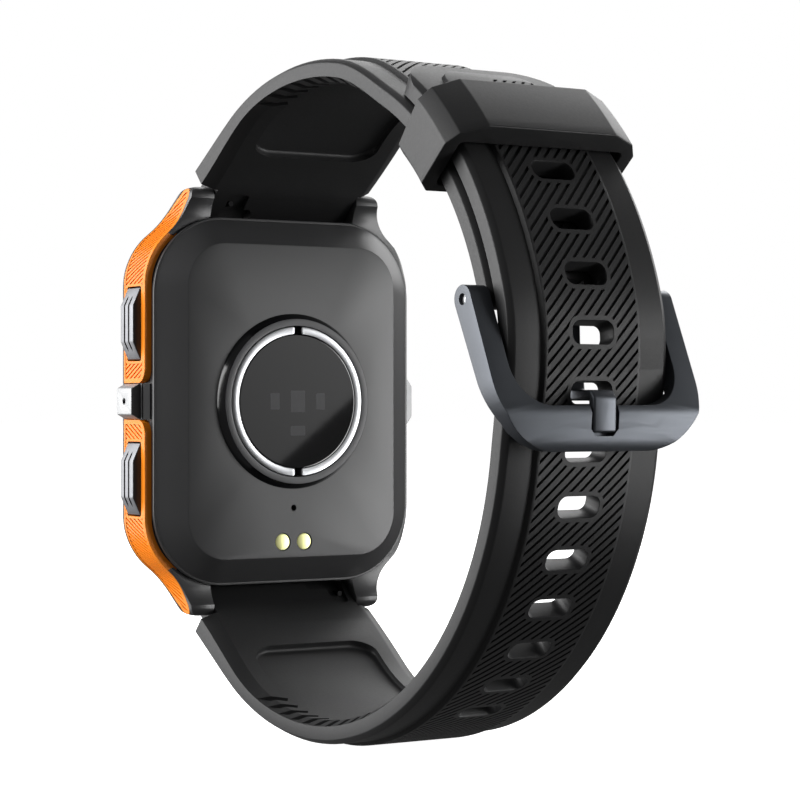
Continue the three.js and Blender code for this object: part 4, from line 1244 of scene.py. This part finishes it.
def make_buckle_frame():
    """A frame of two legs round the pin and one broad cross bar with a notch for the tongue."""
    y, z = BAR_INNER
    half = BUCKLE_HALF_WIDTH
    side = arc((PIN.y, PIN.z), LEG_END_R, 26, 206, 16)
    side += [(y, z - 2), (y - 0.35, z - BAR_HEIGHT), (y - 0.35 + BAR_THICKNESS - 0.5, z - BAR_HEIGHT - 0.2),
             (y + BAR_THICKNESS - 0.3, z - BAR_HEIGHT + 0.8), (y + BAR_THICKNESS, z - 0.8),
             (y + BAR_THICKNESS - 0.6, z + 0.4)]
    whole = prism(side, "X", -half, half)
    plan = rounded_rect(half, 20, 7.8, (0, z - BAR_HEIGHT - 0.2 + 20), 16)
    whole = shaped(whole, [prism([(x, v) for x, v in plan], "Y", 40, 80)], "INTERSECT")
    inner = half - LEG_WIDTH
    window = prism(rounded_rect(inner, 15, 4.6, (0, z + 15), 12), "Y", 50, 75)
    tail_space = block((-inner, inner), (50, y), (z - 8, z + 2))
    frame_body = shaped(whole, [window, tail_space])
    bmesh.ops.dissolve_limit(frame_body, angle_limit=0.02, verts=frame_body.verts, edges=frame_body.edges)
    bevel(frame_body, sharp_edges(frame_body, 35), 0.75, 5)
    notch = [(-1.9, z + 6), (-1.9, z - 2.6), (-1.2, z - 3.4), (1.2, z - 3.4), (1.9, z - 2.6), (1.9, z + 6)]
    seat = prism(notch, "Y", y + BAR_THICKNESS - 1.3, 75)
    bore = rod(PIN_BORE_R, -15, 15, (PIN.y, PIN.z))
    frame_body = shaped(frame_body, [seat, bore])
    return finish_piece("buckle", frame_body, buckle_steel(), "buckle", ["buckle_frame"], 40)


def make_buckle_tongue():
    """The flat tongue: an eye on the pin, a shank under the tail and a blunt tip in the bar's notch."""
    y, z = BAR_INNER
    low_line = [(PIN.y - 1.2, PIN.z), (PIN.y - 0.35, PIN.z - 4.5), (PIN.y + 0.45, PIN.z - 10.4),
                (PIN.y + 1.3, z + 0.5), (y + 1.15, z + 0.5), (y + 1.25, z - 3)]
    outside = y + BAR_THICKNESS
    high_line = [(outside - 0.1, z - 3), (outside, z + 0.9), (outside - 0.7, z + 1.7), (PIN.y + 1.6, z + 1.7),
                 (PIN.y + 0.75, PIN.z - 4.5), (PIN.y + 0.6, PIN.z)]
    shank = prism(low_line + high_line, "X", -1.6, 1.6)
    bevel(shank, [e for e in shank.edges if e.calc_face_angle(0) > 0.35], 0.3, 3)
    tongue = shaped(shank, [rod(1.25, -1.45, 1.45, (PIN.y, PIN.z))], "UNION")
    tongue = shaped(tongue, [rod(PIN_BORE_R, -3, 3, (PIN.y, PIN.z))])
    return finish_piece("tongue", tongue, buckle_steel(), "tongue", ["buckle_tongue"], 40)


class WATCH_OT_buckle(bpy.types.Operator):
    """Make the buckle's frame and tongue"""

    bl_idname = "watch.buckle"
    bl_label = "Buckle"

    def execute(self, context):
        make_buckle_frame()
        make_buckle_tongue()
        return {"FINISHED"}


# ---- carried-over nodes -----------------------------------------------------------------------
def pocket_plastic():
    # Black moulded nylon of small inner carriers and housings.
    return textured("carrier_moulded_nylon", "19191a", "202021", (0.45, 0.6), 2.0, 0.2, 0.006, IOR=1.53)


def antenna_ceramic():
    # Fired ceramic of the satellite antenna under its silver print.
    return textured("antenna_fired_ceramic", "cfc8b4", "ddd7c6", (0.35, 0.5), 1.5, 0.1, 0.004, IOR=1.7)


class WATCH_OT_finish_nodes(bpy.types.Operator):
    """Give the frame's own nodes that stay in view their real finishes"""

    bl_idname = "watch.finish_nodes"
    bl_label = "Finish Frame Nodes"

    def execute(self, context):
        finishes = {
            bright_steel: ["buckle_pin", "button_clip_", "board_screw_", "microphone", "vibration_motor"],
            dark_oxide_steel: ["spring_bar_", "quick_release_"],
            seal_rubber: ["button_o_ring_"],
            board_resin: ["main_board", "sensor_board"],
            cell_foil: ["battery"],
            antenna_ceramic: ["satellite_antenna"],
            screen_glass: ["display_panel"],
            window_glass: ["sensor_leds", "photodiode_"],
            pocket_plastic: ["sensor_carrier", "speaker", "tactile_switch_"],
        }
        for name, node in frame["nodes"].items():
            for finish, starts in finishes.items():
                if any(name.startswith(start) for start in starts) and name != "microphone_port_plate":
                    for place in node.material_slots:
                        place.material = finish()
        return {"FINISHED"}


# ---- stage ------------------------------------------------------------------------------------
CAMERA_PLACE = Vector((163.8, 278.35, 0.18)) * MM
CAMERA_LOOK = Vector((-0.5429, -0.8398, 0))
FLOOR_Z = CAD_BOX[0][2]


def stage_paper():
    # Seamless white studio paper: matt, with a barely visible fibre.
    return textured("stage_white_paper", "e8e8e8", "eeeeee", (0.85, 0.95), 60.0, 2.0, 0.02,
                    Emission_Color=linear("ffffff"), Emission_Strength=1.0)


def soft_light(name, place, facing, width, height, power, roll=0.0, fade=1.0):
    """A rectangular soft box at a place in millimetres, facing a direction. It dims to a share of its
    power towards its left side."""
    data = bpy.data.lights.new(name, "AREA")
    data.shape = "RECTANGLE"
    data.size, data.size_y = width * MM, height * MM
    data.energy = power
    data.use_nodes = True
    tree = data.node_tree
    tree.nodes.clear()
    across = add(tree, "ShaderNodeNewGeometry").outputs["Parametric"]
    position = add(tree, "ShaderNodeSeparateXYZ", {0: across}).outputs[0]
    strength = add(tree, "ShaderNodeMapRange", {"Value": position, "To Min": fade, "To Max": 1.0})
    glow = add(tree, "ShaderNodeEmission", {"Strength": strength.outputs[0]})
    add(tree, "ShaderNodeOutputLight", {"Surface": glow.outputs[0]})
    light = link(name, data)
    light.location = Vector(place) * MM
    light.rotation_mode = "QUATERNION"
    light.rotation_quaternion = Vector(facing).to_track_quat("-Z", "Y") @ Quaternion((0, 0, 1), roll)
    light.visible_camera = False
    return light


def make_floor():
    """A wide sheet of white paper under the watch."""
    bm = bmesh.new()
    bmesh.ops.create_circle(bm, cap_ends=True, segments=96, radius=4.0)
    bmesh.ops.translate(bm, vec=(0, 0, FLOOR_Z - 0.0002), verts=bm.verts)
    mesh = bpy.data.meshes.new("floor")
    bm.to_mesh(mesh)
    bm.free()
    mesh.materials.append(stage_paper())
    floor = link("floor", mesh)
    floor.visible_glossy = False
    floor.visible_diffuse = False


def make_world():
    """White surroundings for the eye, and a dimmer room for the light that falls on the watch."""
    world = bpy.data.worlds.new("studio")
    bpy.context.scene.world = world
    world.use_nodes = True
    tree = world.node_tree
    tree.nodes.clear()
    seen = add(tree, "ShaderNodeLightPath").outputs["Is Camera Ray"]
    room = add(tree, "ShaderNodeBackground", {"Color": linear("ffffff"), "Strength": 0.14})
    white = add(tree, "ShaderNodeBackground", {"Color": linear("ffffff"), "Strength": 1.0})
    mix = add(tree, "ShaderNodeMixShader", {0: seen, 1: room.outputs[0], 2: white.outputs[0]})
    add(tree, "ShaderNodeOutputWorld", {"Surface": mix.outputs[0]})


def make_camera():
    """A long lens at the height of the sensor, off the button side."""
    data = bpy.data.cameras.new("camera")
    data.lens = 109.27
    data.sensor_width = 36.0
    data.clip_start, data.clip_end = 0.01, 20
    camera = link("camera", data)
    camera.location = CAMERA_PLACE
    camera.rotation_mode = "QUATERNION"
    camera.rotation_quaternion = CAMERA_LOOK.to_track_quat("-Z", "Y")
    bpy.context.scene.camera = camera
    bpy.context.scene.view_settings.view_transform = "Standard"


class WATCH_OT_stage(bpy.types.Operator):
    """Make the floor, the surroundings, the lights and the camera"""

    bl_idname = "watch.stage"
    bl_label = "Stage"

    def execute(self, context):
        make_floor()
        make_world()
        soft_light("key", (480, -170, 140), (-480, 170, -140), 420, 420, 4.6)
        soft_light("top", (-270, -225, 390), (270, 225, -350), 380, 380, 1.3)
        soft_light("front", (-440, 410, -60), (440, -390, 60), 220, 420, 3.3)
        soft_light("edge", (330, -510, 60), (-330, 510, -60), 460, 560, 2.3)
        soft_light("rim", (-380, -120, 200), (380, 120, -200), 300, 300, 0.8)
        soft_light("lens_card", (-60.8, 129, 18.5), (0, -1, 0), 80, 62, 0.02, math.radians(37.6), 0.25)
        make_camera()
        return {"FINISHED"}


class WATCH_PT_builder(bpy.types.Panel):
    """Lists the steps that build the watch"""

    bl_idname = "WATCH_PT_builder"
    bl_label = "Running Watch"
    bl_space_type = "VIEW_3D"
    bl_region_type = "UI"
    bl_category = "Watch"

    def draw(self, context):
        for group in (context.scene.watch_sizes, context.scene.watch_colours):
            for name in group.__annotations__:
                self.layout.prop(group, name)
        for step in STEPS:
            self.layout.operator(step.bl_idname)


STEPS = (WATCH_OT_straps, WATCH_OT_case, WATCH_OT_trims, WATCH_OT_buttons, WATCH_OT_sensor, WATCH_OT_buckle,
         WATCH_OT_finish_nodes, WATCH_OT_stage)
CLASSES = (WatchSizes, WatchColours, *STEPS, WATCH_PT_builder)


def register():
    for cls in CLASSES:
        bpy.utils.register_class(cls)
    bpy.types.Scene.watch_sizes = bpy.props.PointerProperty(type=WatchSizes)
    bpy.types.Scene.watch_colours = bpy.props.PointerProperty(type=WatchColours)


def unregister():
    del bpy.types.Scene.watch_colours
    del bpy.types.Scene.watch_sizes
    for cls in reversed(CLASSES):
        bpy.utils.unregister_class(cls)


def main():
    register()
    bpy.ops.watch.straps()
    bpy.ops.watch.case()
    bpy.ops.watch.trims()
    bpy.ops.watch.buttons()
    bpy.ops.watch.sensor()
    bpy.ops.watch.buckle()
    bpy.ops.watch.finish_nodes()
    bpy.ops.watch.stage()


if __name__ == "__main__":
    main()
